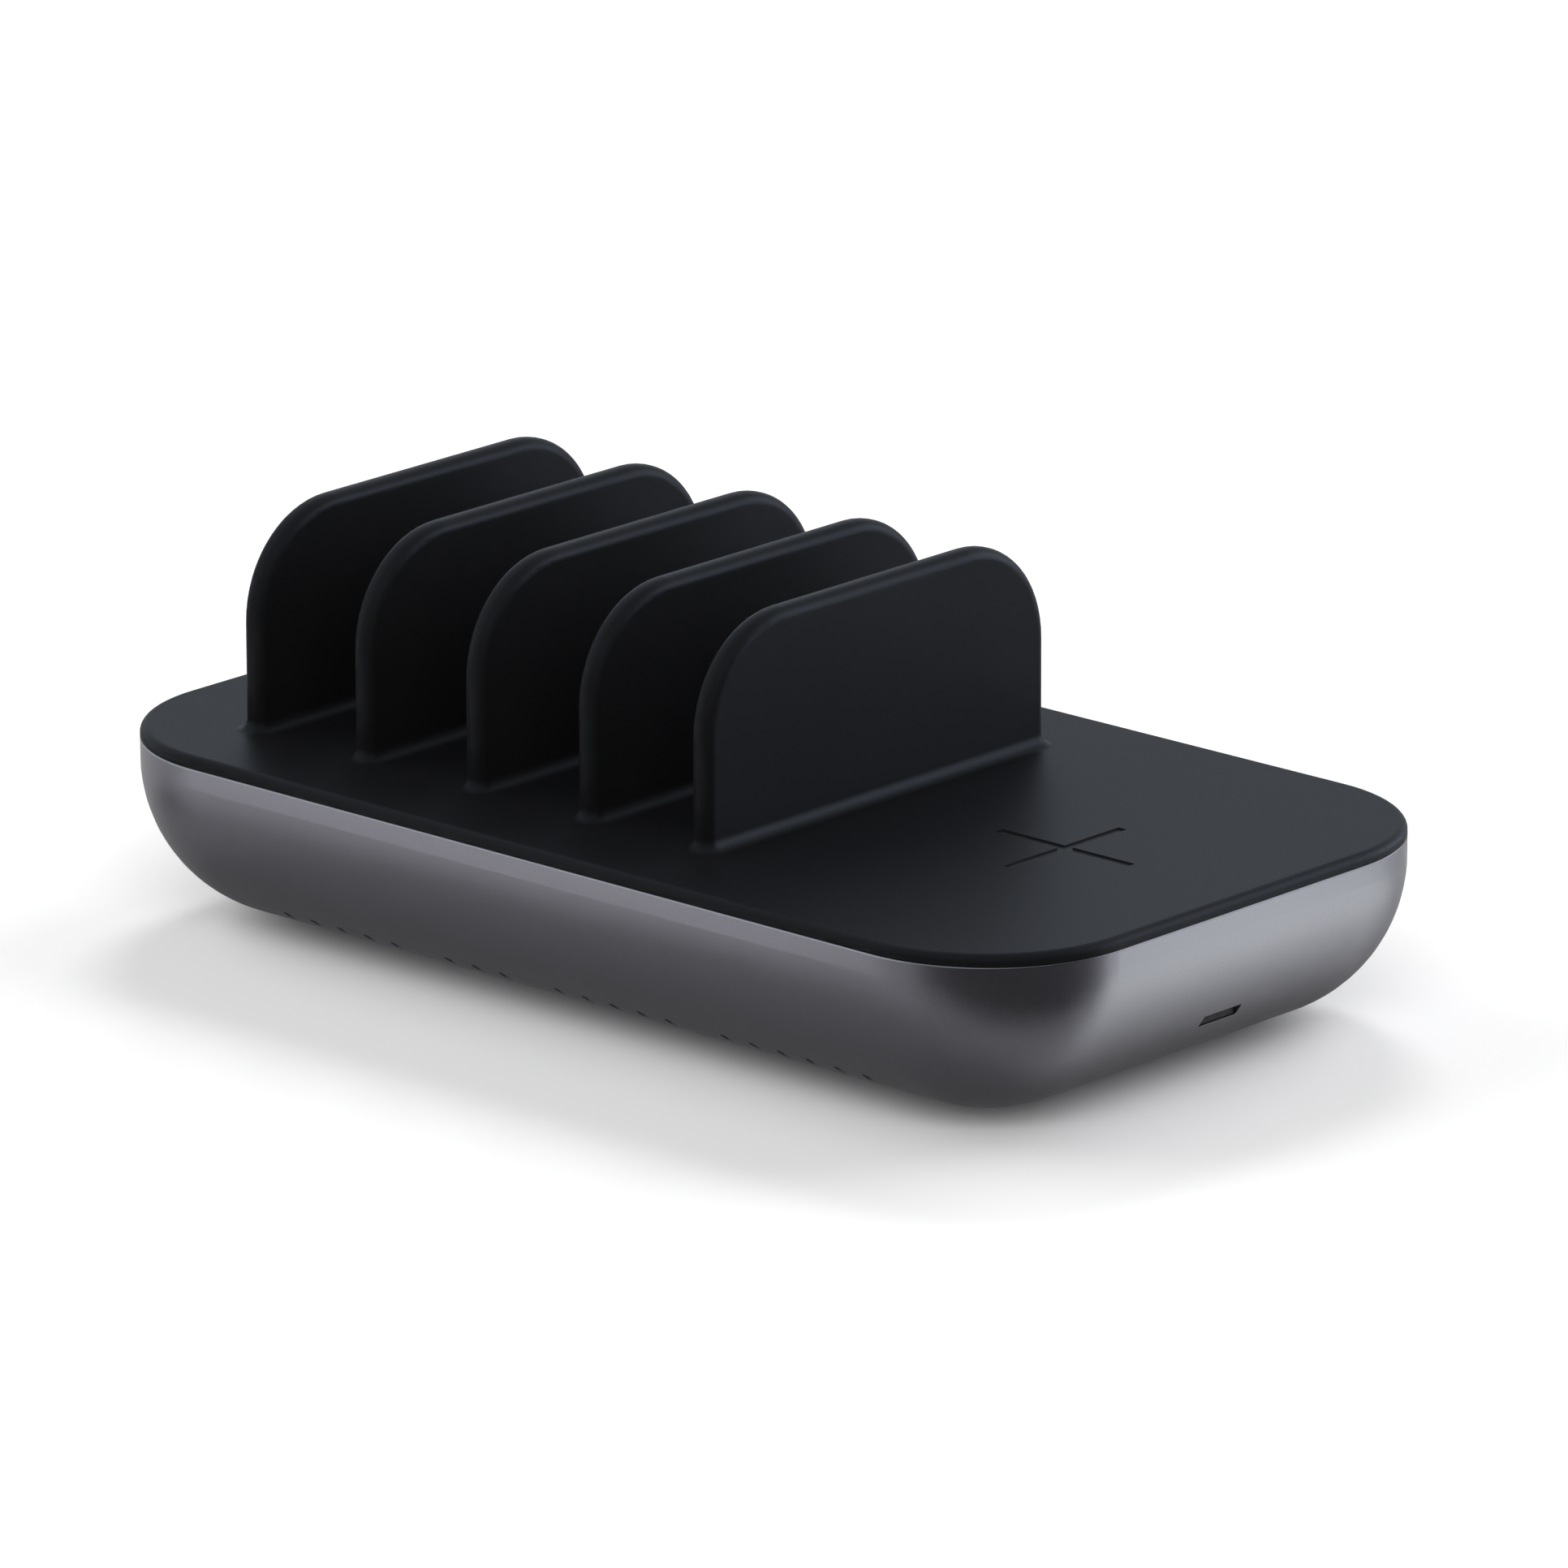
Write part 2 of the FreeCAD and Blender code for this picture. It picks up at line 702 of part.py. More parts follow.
def make_shell():
    """Aluminium tub: a straight rim, one large round to the flat base, and its cut-outs."""
    body = new_body("shell")
    outline = Outline(body, "XY_Plane", ("0", "0", "foot_drop"))
    pad(body, outline.rounded_rectangle("body_length", "body_width", "corner_radius"), "shell_height")
    round_edges(body, lambda bounds: at_level(bounds, size("foot_drop")), "belly_round")
    hollow(body, "parting_z", "shell_wall")
    round_edges(body, at_outer_rim, "shell_edge")

    rebate = Outline(body, "XY_Plane", ("0", "0", "foot_drop"))
    rebate.rounded_rectangle("rebate_length", "rebate_width", "base_corner")
    pocket(body, rebate, "base_flange", along_normal=True)
    hatch = Outline(body, "XY_Plane", ("0", "0", "foot_drop"))
    hatch.rounded_rectangle("hatch_length", "hatch_width", "hatch_corner")
    pocket(body, hatch, "2 * shell_wall", along_normal=True)

    mouths = Outline(body, "XZ_Plane", ("0", "0", "belly_round / 2 - half_width"))
    for number, socket in enumerate(SOCKETS):
        if socket.startswith("usb_a"):
            mouths.rounded_rectangle(
                "usb_a_cut_width", "usb_a_cut_height", "usb_a_corner", port_x(number), "port_z"
            )
        else:
            mouths.round_ended("usb_c_cut_width", "usb_c_cut_height", port_x(number), "port_z")
    pocket(body, mouths, "belly_round")
    inlet = Outline(body, "YZ_Plane", ("0", "0", "belly_round / 2 - half_length"))
    pocket(body, inlet.round_ended("nose_cut_width", "nose_cut_height", "0", "nose_z"), "belly_round")

    lamp = Outline(body, "YZ_Plane", ("0", "lamp_z", "half_length - belly_round / 2"))
    lamp.polygon([
        ("-lamp_length / 2", "-lamp_height / 2"), ("lamp_length / 2", "-lamp_height / 2"),
        ("lamp_length / 2", "lamp_height / 2"), ("-lamp_length / 2", "lamp_height / 2"),
    ])
    pocket(body, lamp, "belly_round", along_normal=True)

    rows = []
    for run in re.finditer("o+", VENTS):
        vents = Outline(body, "XY_Plane")
        for step in range(*run.span()):
            x = f"vent_pitch * ({step} - {len(VENTS) - 1} / 2)"
            vents.round_ended("vent_run", "vent_width", x, "-vent_y", upright=True)
        rows.append(pocket(body, vents, "vent_reach", along_normal=True))
    mirror_across_y(body, rows)
    return name_part(body, "shell")


def add_dividers(body, thickness, length, profile, corner, foot_z):
    """Row of upright dividers across the deck, with large round top corners."""
    outline = Outline(body, "YZ_Plane", ("0", foot_z, f"fin_first_x - {thickness} / 2"))
    a = size(length) / 2
    top = size(profile)
    r = size(corner)
    far, c1, high, c2, near, low = range(6)
    outline.curves = [
        line(a, 0, a, top - r),
        arc(a - r, top - r, r, 0, 1),
        line(a - r, top, r - a, top),
        arc(r - a, top - r, r, 1, 1),
        line(-a, top - r, -a, 0),
        line(-a, 0, a, 0),
    ]
    for first, second in ((far, c1), (c1, high), (high, c2), (c2, near)):
        outline.hold("Tangent", first, 2, second, 1)
    outline.hold("Coincident", near, 2, low, 1)
    outline.hold("Coincident", low, 2, far, 1)
    outline.hold("Vertical", far)
    outline.hold("Vertical", near)
    outline.hold("Horizontal", high)
    outline.hold("Equal", c1, c2)
    outline.measure(corner, "Radius", c1)
    outline.measure(profile, "DistanceY", far, 1, high, 1)
    outline.place_point(low, 1, f"-{length} / 2", "0")
    outline.place_point(low, 2, f"{length} / 2", "0")
    row_along_x(body, pad(body, outline, thickness), "fin_span", "fin_count")


def make_deck_plate():
    """Stiff deck: flange on the shell's rim, lip inside it, blades for the dividers and bosses below."""
    body = new_body("deck_plate")
    flange = Outline(body, "XY_Plane", ("0", "0", "parting_z"))
    flange.rounded_rectangle("flange_deck_length", "flange_deck_width", "flange_deck_corner")
    pad(body, flange, "deck_upper_z - parting_z")
    lip = Outline(body, "XY_Plane", ("0", "0", "deck_under_z - lip_depth"))
    lip.rounded_rectangle("lip_length", "lip_width", "lip_corner")
    pad(body, lip, "deck_upper_z - deck_under_z + lip_depth")
    inner = Outline(body, "XY_Plane", ("0", "0", "deck_under_z - lip_depth"))
    inner.rounded_rectangle("lip_inner_length", "lip_inner_width", "lip_inner_corner")
    pocket(body, inner, "lip_depth", along_normal=True)
    add_dividers(body, "blade_thickness", "blade_length", "blade_profile", "blade_corner", "deck_under_z")

    posts = Outline(body, "XY_Plane", ("0", "0", "cover_top_z")).circles("post_radius", POSTS)
    pad(body, posts, "deck_upper_z - cover_top_z")
    pilots = Outline(body, "XY_Plane", ("0", "0", "cover_top_z")).circles("screw_radius + pilot_fit", POSTS)
    pocket(body, pilots, "screw_length - (cover_top_z - head_seat_z) + pilot_spare", along_normal=True)
    places = PORT_SCREWS + POWER_SCREWS + WIRELESS_SCREWS
    bosses = Outline(body, "XY_Plane", ("0", "0", "board_top_z")).circles("boss_radius", places)
    pad(body, bosses, "deck_upper_z - board_top_z")
    pilots = Outline(body, "XY_Plane", ("0", "0", "board_top_z")).circles("tack_radius + pilot_fit", places)
    pocket(body, pilots, "tack_length - board_thickness + pilot_fit", along_normal=True)
    return name_part(body, "deck_plate")


def make_top_skin(deck_plate):
    """Soft moulding over the deck plate: rim, deck and dividers in one, with a sunk plus mark."""
    body = new_body("top_skin_form")
    outline = Outline(body, "XY_Plane", ("0", "0", "parting_z"))
    pad(body, outline.rounded_rectangle("body_length", "body_width", "corner_radius"), "rim_height")
    deck_top = size("deck_top_z")
    round_edges(body, lambda bounds: at_level(bounds, deck_top), "rim_edge")
    add_dividers(body, "fin_thickness", "fin_length", "fin_profile", "fin_corner", "parting_z")
    round_edges(body, lambda bounds: bounds.ZMax > deck_top + NEAR and bounds.XLength < NEAR, "fin_edge")

    low_x = size("fin_first_x - fin_thickness")
    high_x = size("fin_first_x + fin_span + fin_thickness")
    high_y = size("fin_length / 2") + NEAR

    def at_divider_foot(bounds):
        inside = low_x < bounds.XMin and bounds.XMax < high_x and max(-bounds.YMin, bounds.YMax) < high_y
        return inside and at_level(bounds, deck_top)

    round_edges(body, at_divider_foot, "fin_root")

    arm, back = "mark_length / 2", "-mark_length / 2"
    plus, minus = "mark_width / 2", "-mark_width / 2"
    mark = Outline(body, "XY_Plane", ("mark_x", "0", "deck_top_z"))
    mark.polygon([
        (arm, minus), (arm, plus), (plus, plus), (plus, arm), (minus, arm), (minus, plus),
        (back, plus), (back, minus), (minus, minus), (minus, back), (plus, back), (plus, minus),
    ])
    pocket(body, mark, "mark_depth")
    return name_part(cut(body, deck_plate), "top_skin")


def make_base_cover():
    """Cover in the shell's rebate, with seats for the feet and sunk screw holes."""
    body = new_body("base_cover")
    flange = Outline(body, "XY_Plane", ("0", "0", "foot_drop"))
    pad(body, flange.rounded_rectangle("flange_length", "flange_width", "flange_corner"), "base_flange")
    plug = Outline(body, "XY_Plane", ("0", "0", "foot_drop"))
    plug.rounded_rectangle("plug_length", "plug_width", "plug_corner")
    pad(body, plug, "cover_top_z - foot_drop")
    seats = Outline(body, "XY_Plane", ("0", "0", "foot_drop"))
    for x, y in FEET.values():
        seats.round_ended("foot_seat_length", "foot_seat_width", x, y)
    pocket(body, seats, "foot_sunk", along_normal=True)
    passages = Outline(body, "XY_Plane", ("0", "0", "foot_drop"))
    pocket(body, passages.circles("screw_radius + passage_fit", POSTS), "cover_top_z", along_normal=True)
    heads = Outline(body, "XY_Plane", ("0", "0", "foot_drop"))
    heads.circles("screw_head_radius + passage_fit", POSTS)
    pocket(body, heads, "screw_head_sunk", along_normal=True)
    return name_part(body, "base_cover")


def make_feet():
    """Rubber feet stuck into the base cover."""
    for label, (x, y) in FEET.items():
        body = new_body(label)
        outline = Outline(body, "XY_Plane", (x, y, "0"))
        pad(body, outline.round_ended("foot_length", "foot_width"), "foot_drop + foot_sunk")
        round_edges(body, lambda bounds: at_level(bounds, 0), "foot_round")
        name_part(body, label)


def cross_recess(size_name, foot):
    """Two crossed blocks that sink a drive recess into a screw head."""
    x, y, z = foot
    length, width, depth = (f"{size_name}_cross_{part}" for part in ("length", "width", "depth"))
    blocks = []
    for along_x, along_y in ((length, width), (width, length)):
        blocks.append(box((f"{x} - {along_x} / 2", f"{y} - {along_y} / 2", z), (along_x, along_y, depth)))
    return join(blocks)


def make_screws(label, places, seat_z, size_name):
    """Cross-recessed screws with their heads under a seat; the places share one node."""
    screws = []
    for x, y in places:
        head_foot = (x, y, f"{seat_z} - {size_name}_head_height")
        head = cylinder(f"{size_name}_head_radius", f"{size_name}_head_height", head_foot)
        shank = cylinder(f"{size_name}_radius", f"{size_name}_length", (x, y, seat_z))
        screws.append(cut(join([head, shank]), cross_recess(size_name, head_foot)))
    name_part(group(screws), label)


def make_board(label, length, width, centre, screws, post_holes=()):
    """Circuit board with round corners, screwed up against the deck's bosses."""
    body = new_body(label)
    outline = Outline(body, "XY_Plane", ("0", "0", "board_under_z"))
    outline.rounded_rectangle(length, width, "board_corner", *centre)
    outline.circles("tack_radius + passage_fit", screws)
    outline.circles("post_radius + board_gap", post_holes)
    pad(body, outline, "board_thickness")
    name_part(body, label)
    make_screws(label + "_screws", screws, "board_under_z", "tack")


def make_boards():
    centre = ("port_board_x", "port_board_y")
    make_board("port_board", "port_board_length", "port_board_depth", centre, PORT_SCREWS)
    centre = ("power_board_x", "power_board_y")
    post_holes = [("post_rear_x", "-post_y")]
    make_board("power_board", "power_board_length", "power_board_width", centre, POWER_SCREWS, post_holes)
    centre = ("wireless_board_x", "0")
    make_board("wireless_board", "wireless_board_length", "wireless_board_width", centre, WIRELESS_SCREWS)


def make_sockets():
    """One charging socket for each slot: a folded shell with a tongue inside."""
    for number, socket in enumerate(SOCKETS):
        kind, index = socket.rsplit("_", 1)
        x = port_x(number)
        body = new_body(f"{kind}_shell_{index}")
        outline = Outline(body, "XZ_Plane", (x, "port_z", "-port_mouth_y"))
        bore = Outline(body, "XZ_Plane", (x, "port_z", "-port_mouth_y"))
        if kind == "usb_a":
            outline.rounded_rectangle("usb_a_width", "usb_a_height", "usb_a_corner")
            bore.rounded_rectangle("usb_a_inner_width", "usb_a_inner_height", "usb_a_inner_corner")
        else:
            outline.round_ended("usb_c_width", "usb_c_height")
            bore.round_ended("usb_c_inner_width", "usb_c_inner_height")
        pad(body, outline, kind + "_depth")
        pocket(body, bore, kind + "_depth", along_normal=True)
        name_part(body, f"{kind}_shell_{index}")
        make_socket_core(kind, index, x)


def make_socket_core(kind, index, x):
    """Insulator at the back of a socket, with the tongue that carries the contacts."""
    back_y = f"port_mouth_y - {kind}_depth"
    height = f"({kind}_inner_height - 2 * socket_core_fit)"
    if kind == "usb_a":
        rise, round_room = "usb_a_tongue_rise", "2 * usb_a_inner_corner"
    else:
        rise, round_room = "0", "usb_c_inner_height"
    width = f"({kind}_inner_width - 2 * socket_core_fit - {round_room})"
    low_z = f"port_z - {height} / 2"
    back = box((f"{x} - {width} / 2", back_y, low_z), (width, f"{kind}_back", height))
    tongue = box(
        (f"{x} - {kind}_tongue_width / 2", back_y, f"port_z + {rise} - {kind}_tongue_height / 2"),
        (f"{kind}_tongue_width", f"{kind}_back + {kind}_tongue_reach", f"{kind}_tongue_height"),
    )
    pieces = [back, tongue]
    if kind == "usb_c":
        stand_y = f"{back_y} - usb_c_stand"
        top_z = "port_z + usb_c_height / 2"
        stand = ((f"{x} - {width} / 2", stand_y, low_z), (width, "usb_c_stand", f"board_under_z - ({low_z})"))
        roof_depth = "usb_c_stand + usb_c_depth / 2"
        roof = ((f"{x} - {width} / 2", stand_y, top_z), (width, roof_depth, f"board_under_z - ({top_z})"))
        pieces += [box(*stand), box(*roof)]
    name_part(join(pieces), f"{kind}_core_{index}")


def make_inlet():
    """Two-pin mains inlet under the power board, its nose in the shell's end wall."""
    body = new_body("ac_inlet")
    block = Outline(body, "YZ_Plane", ("0", "inlet_z", "inlet_front_x"))
    pad(body, block.rounded_rectangle("inlet_width", "inlet_height", "inlet_corner"), "inlet_depth")
    nose = Outline(body, "YZ_Plane", ("0", "nose_z", "nose_front_x"))
    pad(body, nose.round_ended("nose_width", "nose_height"), "nose_length")
    for side in ("-", ""):
        lobe = Outline(body, "YZ_Plane", ("0", "nose_z", "nose_front_x"))
        lobe.circles("lobe_radius", [(f"{side}lobe_pitch / 2", "0")])
        pocket(body, lobe, "recess_depth", along_normal=True)
    x, y = "lobe_pitch / 2", "waist_height / 2"
    waist = Outline(body, "YZ_Plane", ("0", "nose_z", "nose_front_x"))
    waist.polygon([("-" + x, "-" + y), (x, "-" + y), (x, y), ("-" + x, y)])
    pocket(body, waist, "recess_depth", along_normal=True)
    name_part(body, "ac_inlet")

    pins = []
    for side in ("-", ""):
        foot = ("nose_front_x + recess_depth - pin_length", f"{side}pin_pitch / 2", "nose_z")
        pins.append(cylinder("pin_radius", "pin_length", foot, Vector(1, 0, 0)))
    name_part(group(pins), "inlet_pins")


def block_under_board(x, y, length, width, height):
    """Block that hangs under a board, centred on a place."""
    low = (f"{x} - {length} / 2", f"{y} - {width} / 2", f"board_under_z - {height}")
    return box(low, (length, width, height))


def can(radius, height, bevel, foot, axis=Vector(0, 0, 1)):
    """Capacitor can: a cylinder with its two rims bevelled."""
    bevelled = doc.addObject("Part::Chamfer", "can")
    bevelled.Base = cylinder(radius, height, foot, axis)
    doc.recompute()
    rims = [i for i, edge in enumerate(bevelled.Base.Shape.Edges, start=1) if is_circle(edge)]
    bevelled.Edges = [(i, size(bevel), size(bevel)) for i in rims]
    return bevelled


def make_supply():
    """Parts of the mains supply, hung under the power board from the inlet to the output."""
    foot = ("fuse_x", "fuse_y", "board_under_z - fuse_radius")
    name_part(cylinder("fuse_radius", "fuse_length", foot, Vector(1, 0, 0)), "fuse")

    ring = doc.addObject("Part::Torus", "ring")
    bind(ring, {"Radius1": "choke_radius", "Radius2": "choke_thickness"})
    bind(ring, {"Placement.Base.x": "choke_x", "Placement.Base.y": "choke_y"})
    bind(ring, {"Placement.Base.z": "board_under_z - choke_thickness"})
    name_part(ring, "line_filter_choke")

    line_cap = ("line_cap_x", "line_cap_y", "line_cap_width", "line_cap_length", "line_cap_height")
    name_part(block_under_board(*line_cap), "line_capacitor")
    bridge = ("fuse_x + bridge_length / 2", "bridge_y", "bridge_length", "bridge_width", "bridge_height")
    name_part(block_under_board(*bridge), "bridge_rectifier")
    foot = ("bulk_x", "bulk_y", "board_under_z - bulk_radius")
    name_part(can("bulk_radius", "bulk_length", "bulk_bevel", foot, Vector(1, 0, 0)), "bulk_capacitor")
    make_heat_sink()
    make_transformer()

    cans = []
    for y in ("out_cap_y", "out_cap_y - out_cap_pitch"):
        foot = ("out_cap_x", y, "board_under_z - out_cap_height")
        cans.append(can("out_cap_radius", "out_cap_height", "out_cap_bevel", foot))
    name_part(group(cans), "output_capacitors")

    near = "(power_far_y - link_bite)"
    far = "(port_board_y - port_board_depth / 2 + link_bite)"
    low = ("power_rear_x + link_rear - link_length / 2", near, "board_under_z - link_height")
    name_part(box(low, ("link_length", f"{far} - {near}", "link_height")), "supply_link")

    length = "(hatch_length - 2 * sheet_margin)"
    width = "(2 * (post_y - post_radius - board_gap))"
    low = (f"-{length} / 2", f"-{width} / 2", "cover_top_z")
    name_part(box(low, (length, width, "sheet_thickness")), "insulation_sheet")


def make_heat_sink():
    """Finned plate that stands down from the board, and the switch that is fixed to its plain side."""
    low_z = "board_under_z - sink_height"
    pieces = [box(("sink_x", "sink_y", low_z), ("sink_length", "sink_wall", "sink_height"))]
    for number in range(int(size("sink_fin_count"))):
        step = f"{number} * (sink_length - sink_fin_wall) / (sink_fin_count - 1)"
        low = (f"sink_x + {step}", "sink_y + sink_wall / 2", low_z)
        pieces.append(box(low, ("sink_fin_wall", "sink_wall / 2 + sink_fin_depth", "sink_height")))
    name_part(join(pieces), "heat_sink")

    low = ("sink_x + switch_rear", "sink_y - switch_depth", "board_under_z - switch_height")
    name_part(box(low, ("switch_width", "switch_depth", "switch_height")), "power_switch")


def make_transformer():
    """Ferrite core with two windows, and the winding round its middle limb."""
    block = block_under_board("core_x", "core_y", "core_length", "core_width", "core_height")
    window_height = "(core_height - 2 * core_limb)"
    window_length = "((core_length - 4 * core_limb) / 2)"
    floor_z = "board_under_z - core_height + core_limb"
    windows = []
    for start in (f"core_x - core_limb - {window_length}", "core_x + core_limb"):
        low = (start, "core_y - core_width / 2", floor_z)
        windows.append(box(low, (window_length, "core_width", window_height)))
    name_part(cut(block, join(windows)), "transformer_core")

    height = f"({window_height} - 2 * winding_fit)"
    outer_length = f"(2 * core_limb + 2 * {window_length} - 2 * winding_fit)"
    inner_length = "(2 * core_limb + 2 * winding_fit)"
    inner_width = "(core_width + 2 * winding_fit)"
    winding_z = floor_z + " + winding_fit"
    low = (f"core_x - {outer_length} / 2", "core_y - winding_width / 2", winding_z)
    outer = box(low, (outer_length, "winding_width", height))
    low = (f"core_x - {inner_length} / 2", f"core_y - {inner_width} / 2", winding_z)
    name_part(cut(outer, box(low, (inner_length, inner_width, height))), "transformer_winding")


def make_wireless_charger():
    """Coil, ferrite and tray stacked between the deck and the wireless board."""
    name_part(make_coil(), "charging_coil")
    disc = cylinder("ferrite_radius", "ferrite_thickness", ("mark_x", "0", "ferrite_z"))
    name_part(disc, "ferrite_disc")
    tray = cylinder("tray_radius", "tray_thickness", ("mark_x", "0", "board_top_z"))
    window = cylinder("tray_window", "tray_thickness", ("mark_x", "0", "board_top_z"))
    name_part(cut(tray, window), "coil_tray")


def make_coil():
    """Flat spiral of square wire, one half turn at a time about two centres half a pitch apart."""
    pitch = size("coil_pitch")
    half_wire = size("coil_wire / 2")
    radius = size("coil_bore") + half_wire
    first = Vector(radius, 0, 0)
    halves = []
    for half in range(2 * int(size("(coil_outer - coil_bore) / coil_pitch"))):
        sign = 1 if half % 2 == 0 else -1
        centre = Vector(0 if half % 2 == 0 else -pitch / 2, 0, 0)
        reach = Vector(sign * radius, 0, 0)
        middle = centre + Vector(0, sign * radius, 0)
        halves.append(Part.Arc(centre + reach, middle, centre - reach).toShape())
        radius += pitch / 2
    corners = ((-1, -1), (1, -1), (1, 1), (-1, 1), (-1, -1))
    section = Part.makePolygon([first + Vector(dx * half_wire, 0, dz * half_wire) for dx, dz in corners])
    coil = doc.addObject("Part::Feature", "coil")
    coil.Shape = Part.Wire(halves).makePipeShell([section], True, False)
    return bind(coil, {"Placement.Base.x": "mark_x", "Placement.Base.z": "coil_z + coil_wire / 2"})


def make_small_parts():
    """Chips, the status lamp and the flat cable between the boards."""
    side = "port_chip_side"
    chip = block_under_board("port_board_x", "port_board_y", side, side, "port_chip_height")
    name_part(chip, "port_controller")
    side = "wireless_chip_side"
    place = ("wireless_rear_x + wireless_chip_inset", "0")
    name_part(block_under_board(*place, side, side, "wireless_chip_height"), "wireless_controller")
    lamp = block_under_board("status_x", "0", "chip_width", "chip_length", "chip_height")
    name_part(lamp, "status_lamp")
    low = ("board_front_x - ribbon_bite", "ribbon_y - ribbon_width / 2", "board_under_z - ribbon_thickness")
    length = "wireless_rear_x - board_front_x + 2 * ribbon_bite"
    name_part(box(low, (length, "ribbon_width", "ribbon_thickness")), "ribbon_cable")


def make_light_pipe():
    """Bent window: in through the lamp slot and up to the lamp, with a mirror bevel at the bend."""
    body = new_body("light_pipe")
    rear, inner = "pipe_rear_x", "pipe_rear_x + pipe_thickness"
    low, high = "lamp_z - pipe_height / 2", "lamp_z + pipe_height / 2"
    side = Outline(body, "XZ_Plane", ("0", "0", "-pipe_length / 2"))
    side.polygon([
        (rear + " + pipe_height", low), ("pipe_front_x", low), ("pipe_front_x", high), (inner, high),
        (inner, "pipe_top_z"), (rear, "pipe_top_z"), (rear, low + " + pipe_height"),
    ])
    pad(body, side, "pipe_length")
    name_part(body, "light_pipe")


make_shell()
make_top_skin(make_deck_plate())
make_base_cover()
make_feet()
make_screws("base_screws", POSTS, "head_seat_z", "screw")
make_boards()
make_sockets()
make_inlet()
make_supply()
make_wireless_charger()
make_small_parts()
make_light_pipe()
doc.recompute()

for item in doc.Objects:
    if "Invalid" in item.State or "Error" in item.State:
        raise RuntimeError(f"{item.Label} failed: {item.State}")
    if item.TypeId == "PartDesign::Pocket" and item.Shape.Volume > item.BaseFeature.Shape.Volume - NEAR:
        raise RuntimeError(f"{item.Label} cuts nothing")
for part in parts:
    if part.Shape.isNull() or not part.Shape.isValid():
        raise RuntimeError(f"{part.Label} has no valid shape")

os.makedirs("parts", exist_ok=True)
for part in parts:
    part.Shape.exportStep(f"parts/{part.Label}.step")
print(len(parts), "parts written")
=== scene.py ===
"""Looks of the charging station organizer: finishes, contact strips, floor, light and camera."""
import json
import math

import bmesh
import bpy
from mathutils import Matrix, Vector


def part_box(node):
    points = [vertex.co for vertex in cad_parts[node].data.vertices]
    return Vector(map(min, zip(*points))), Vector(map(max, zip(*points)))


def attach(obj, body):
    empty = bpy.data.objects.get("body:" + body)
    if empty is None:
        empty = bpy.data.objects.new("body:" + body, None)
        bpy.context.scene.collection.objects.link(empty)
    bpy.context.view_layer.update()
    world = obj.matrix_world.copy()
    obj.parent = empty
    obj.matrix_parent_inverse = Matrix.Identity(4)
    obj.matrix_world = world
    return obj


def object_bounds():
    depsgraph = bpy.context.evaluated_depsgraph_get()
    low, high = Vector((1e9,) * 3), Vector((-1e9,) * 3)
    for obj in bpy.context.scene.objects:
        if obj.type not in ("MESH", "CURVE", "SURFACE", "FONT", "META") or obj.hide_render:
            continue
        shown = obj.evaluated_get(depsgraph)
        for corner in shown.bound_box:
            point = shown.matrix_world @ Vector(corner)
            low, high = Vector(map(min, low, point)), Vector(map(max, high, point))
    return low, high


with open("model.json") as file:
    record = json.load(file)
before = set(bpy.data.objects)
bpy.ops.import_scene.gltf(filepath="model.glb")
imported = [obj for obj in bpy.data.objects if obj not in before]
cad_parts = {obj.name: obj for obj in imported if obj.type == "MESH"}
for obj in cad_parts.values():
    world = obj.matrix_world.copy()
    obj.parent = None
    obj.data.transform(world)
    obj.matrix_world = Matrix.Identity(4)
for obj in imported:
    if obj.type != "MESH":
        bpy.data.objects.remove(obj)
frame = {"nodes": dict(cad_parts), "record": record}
cad_low, cad_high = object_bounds()

MM = 0.001


# Camera

CAMERA_AZIMUTH = math.radians(42.38)
CAMERA_ELEVATION = math.radians(16.93)
CAMERA_ROLL = math.radians(-0.15)
CAMERA_DISTANCE = 2.033
CAMERA_TARGET = Vector((2.30, 1.52, 29.03)) * MM
CAMERA_SENSOR_MM = 36.0
CAMERA_LENS_MM = 309.14
CAMERA_NEAREST = 0.05
CAMERA_FARTHEST = 60.0


def add_camera():
    """Camera at the photograph's viewing angle."""
    level = math.cos(CAMERA_ELEVATION)
    back = Vector((
        math.sin(CAMERA_AZIMUTH) * level,
        -math.cos(CAMERA_AZIMUTH) * level,
        math.sin(CAMERA_ELEVATION),
    ))
    right = Vector((math.cos(CAMERA_AZIMUTH), math.sin(CAMERA_AZIMUTH), 0.0))
    up = back.cross(right)
    turned_right = right * math.cos(CAMERA_ROLL) + up * math.sin(CAMERA_ROLL)
    turned_up = up * math.cos(CAMERA_ROLL) - right * math.sin(CAMERA_ROLL)
    turn = Matrix((turned_right, turned_up, back)).transposed().to_4x4()
    data = bpy.data.cameras.new("camera")
    data.sensor_width = CAMERA_SENSOR_MM
    data.lens = CAMERA_LENS_MM
    data.clip_start = CAMERA_NEAREST
    data.clip_end = CAMERA_FARTHEST
    camera = bpy.data.objects.new("camera", data)
    camera.matrix_world = Matrix.Translation(CAMERA_TARGET + back * CAMERA_DISTANCE) @ turn
    bpy.context.scene.collection.objects.link(camera)
    bpy.context.scene.camera = camera


# Shader graphs

# Sockets of a colour Mix node, found by number because other types share their names
MIX_FIRST, MIX_SECOND, MIX_RESULT = 6, 7, 2


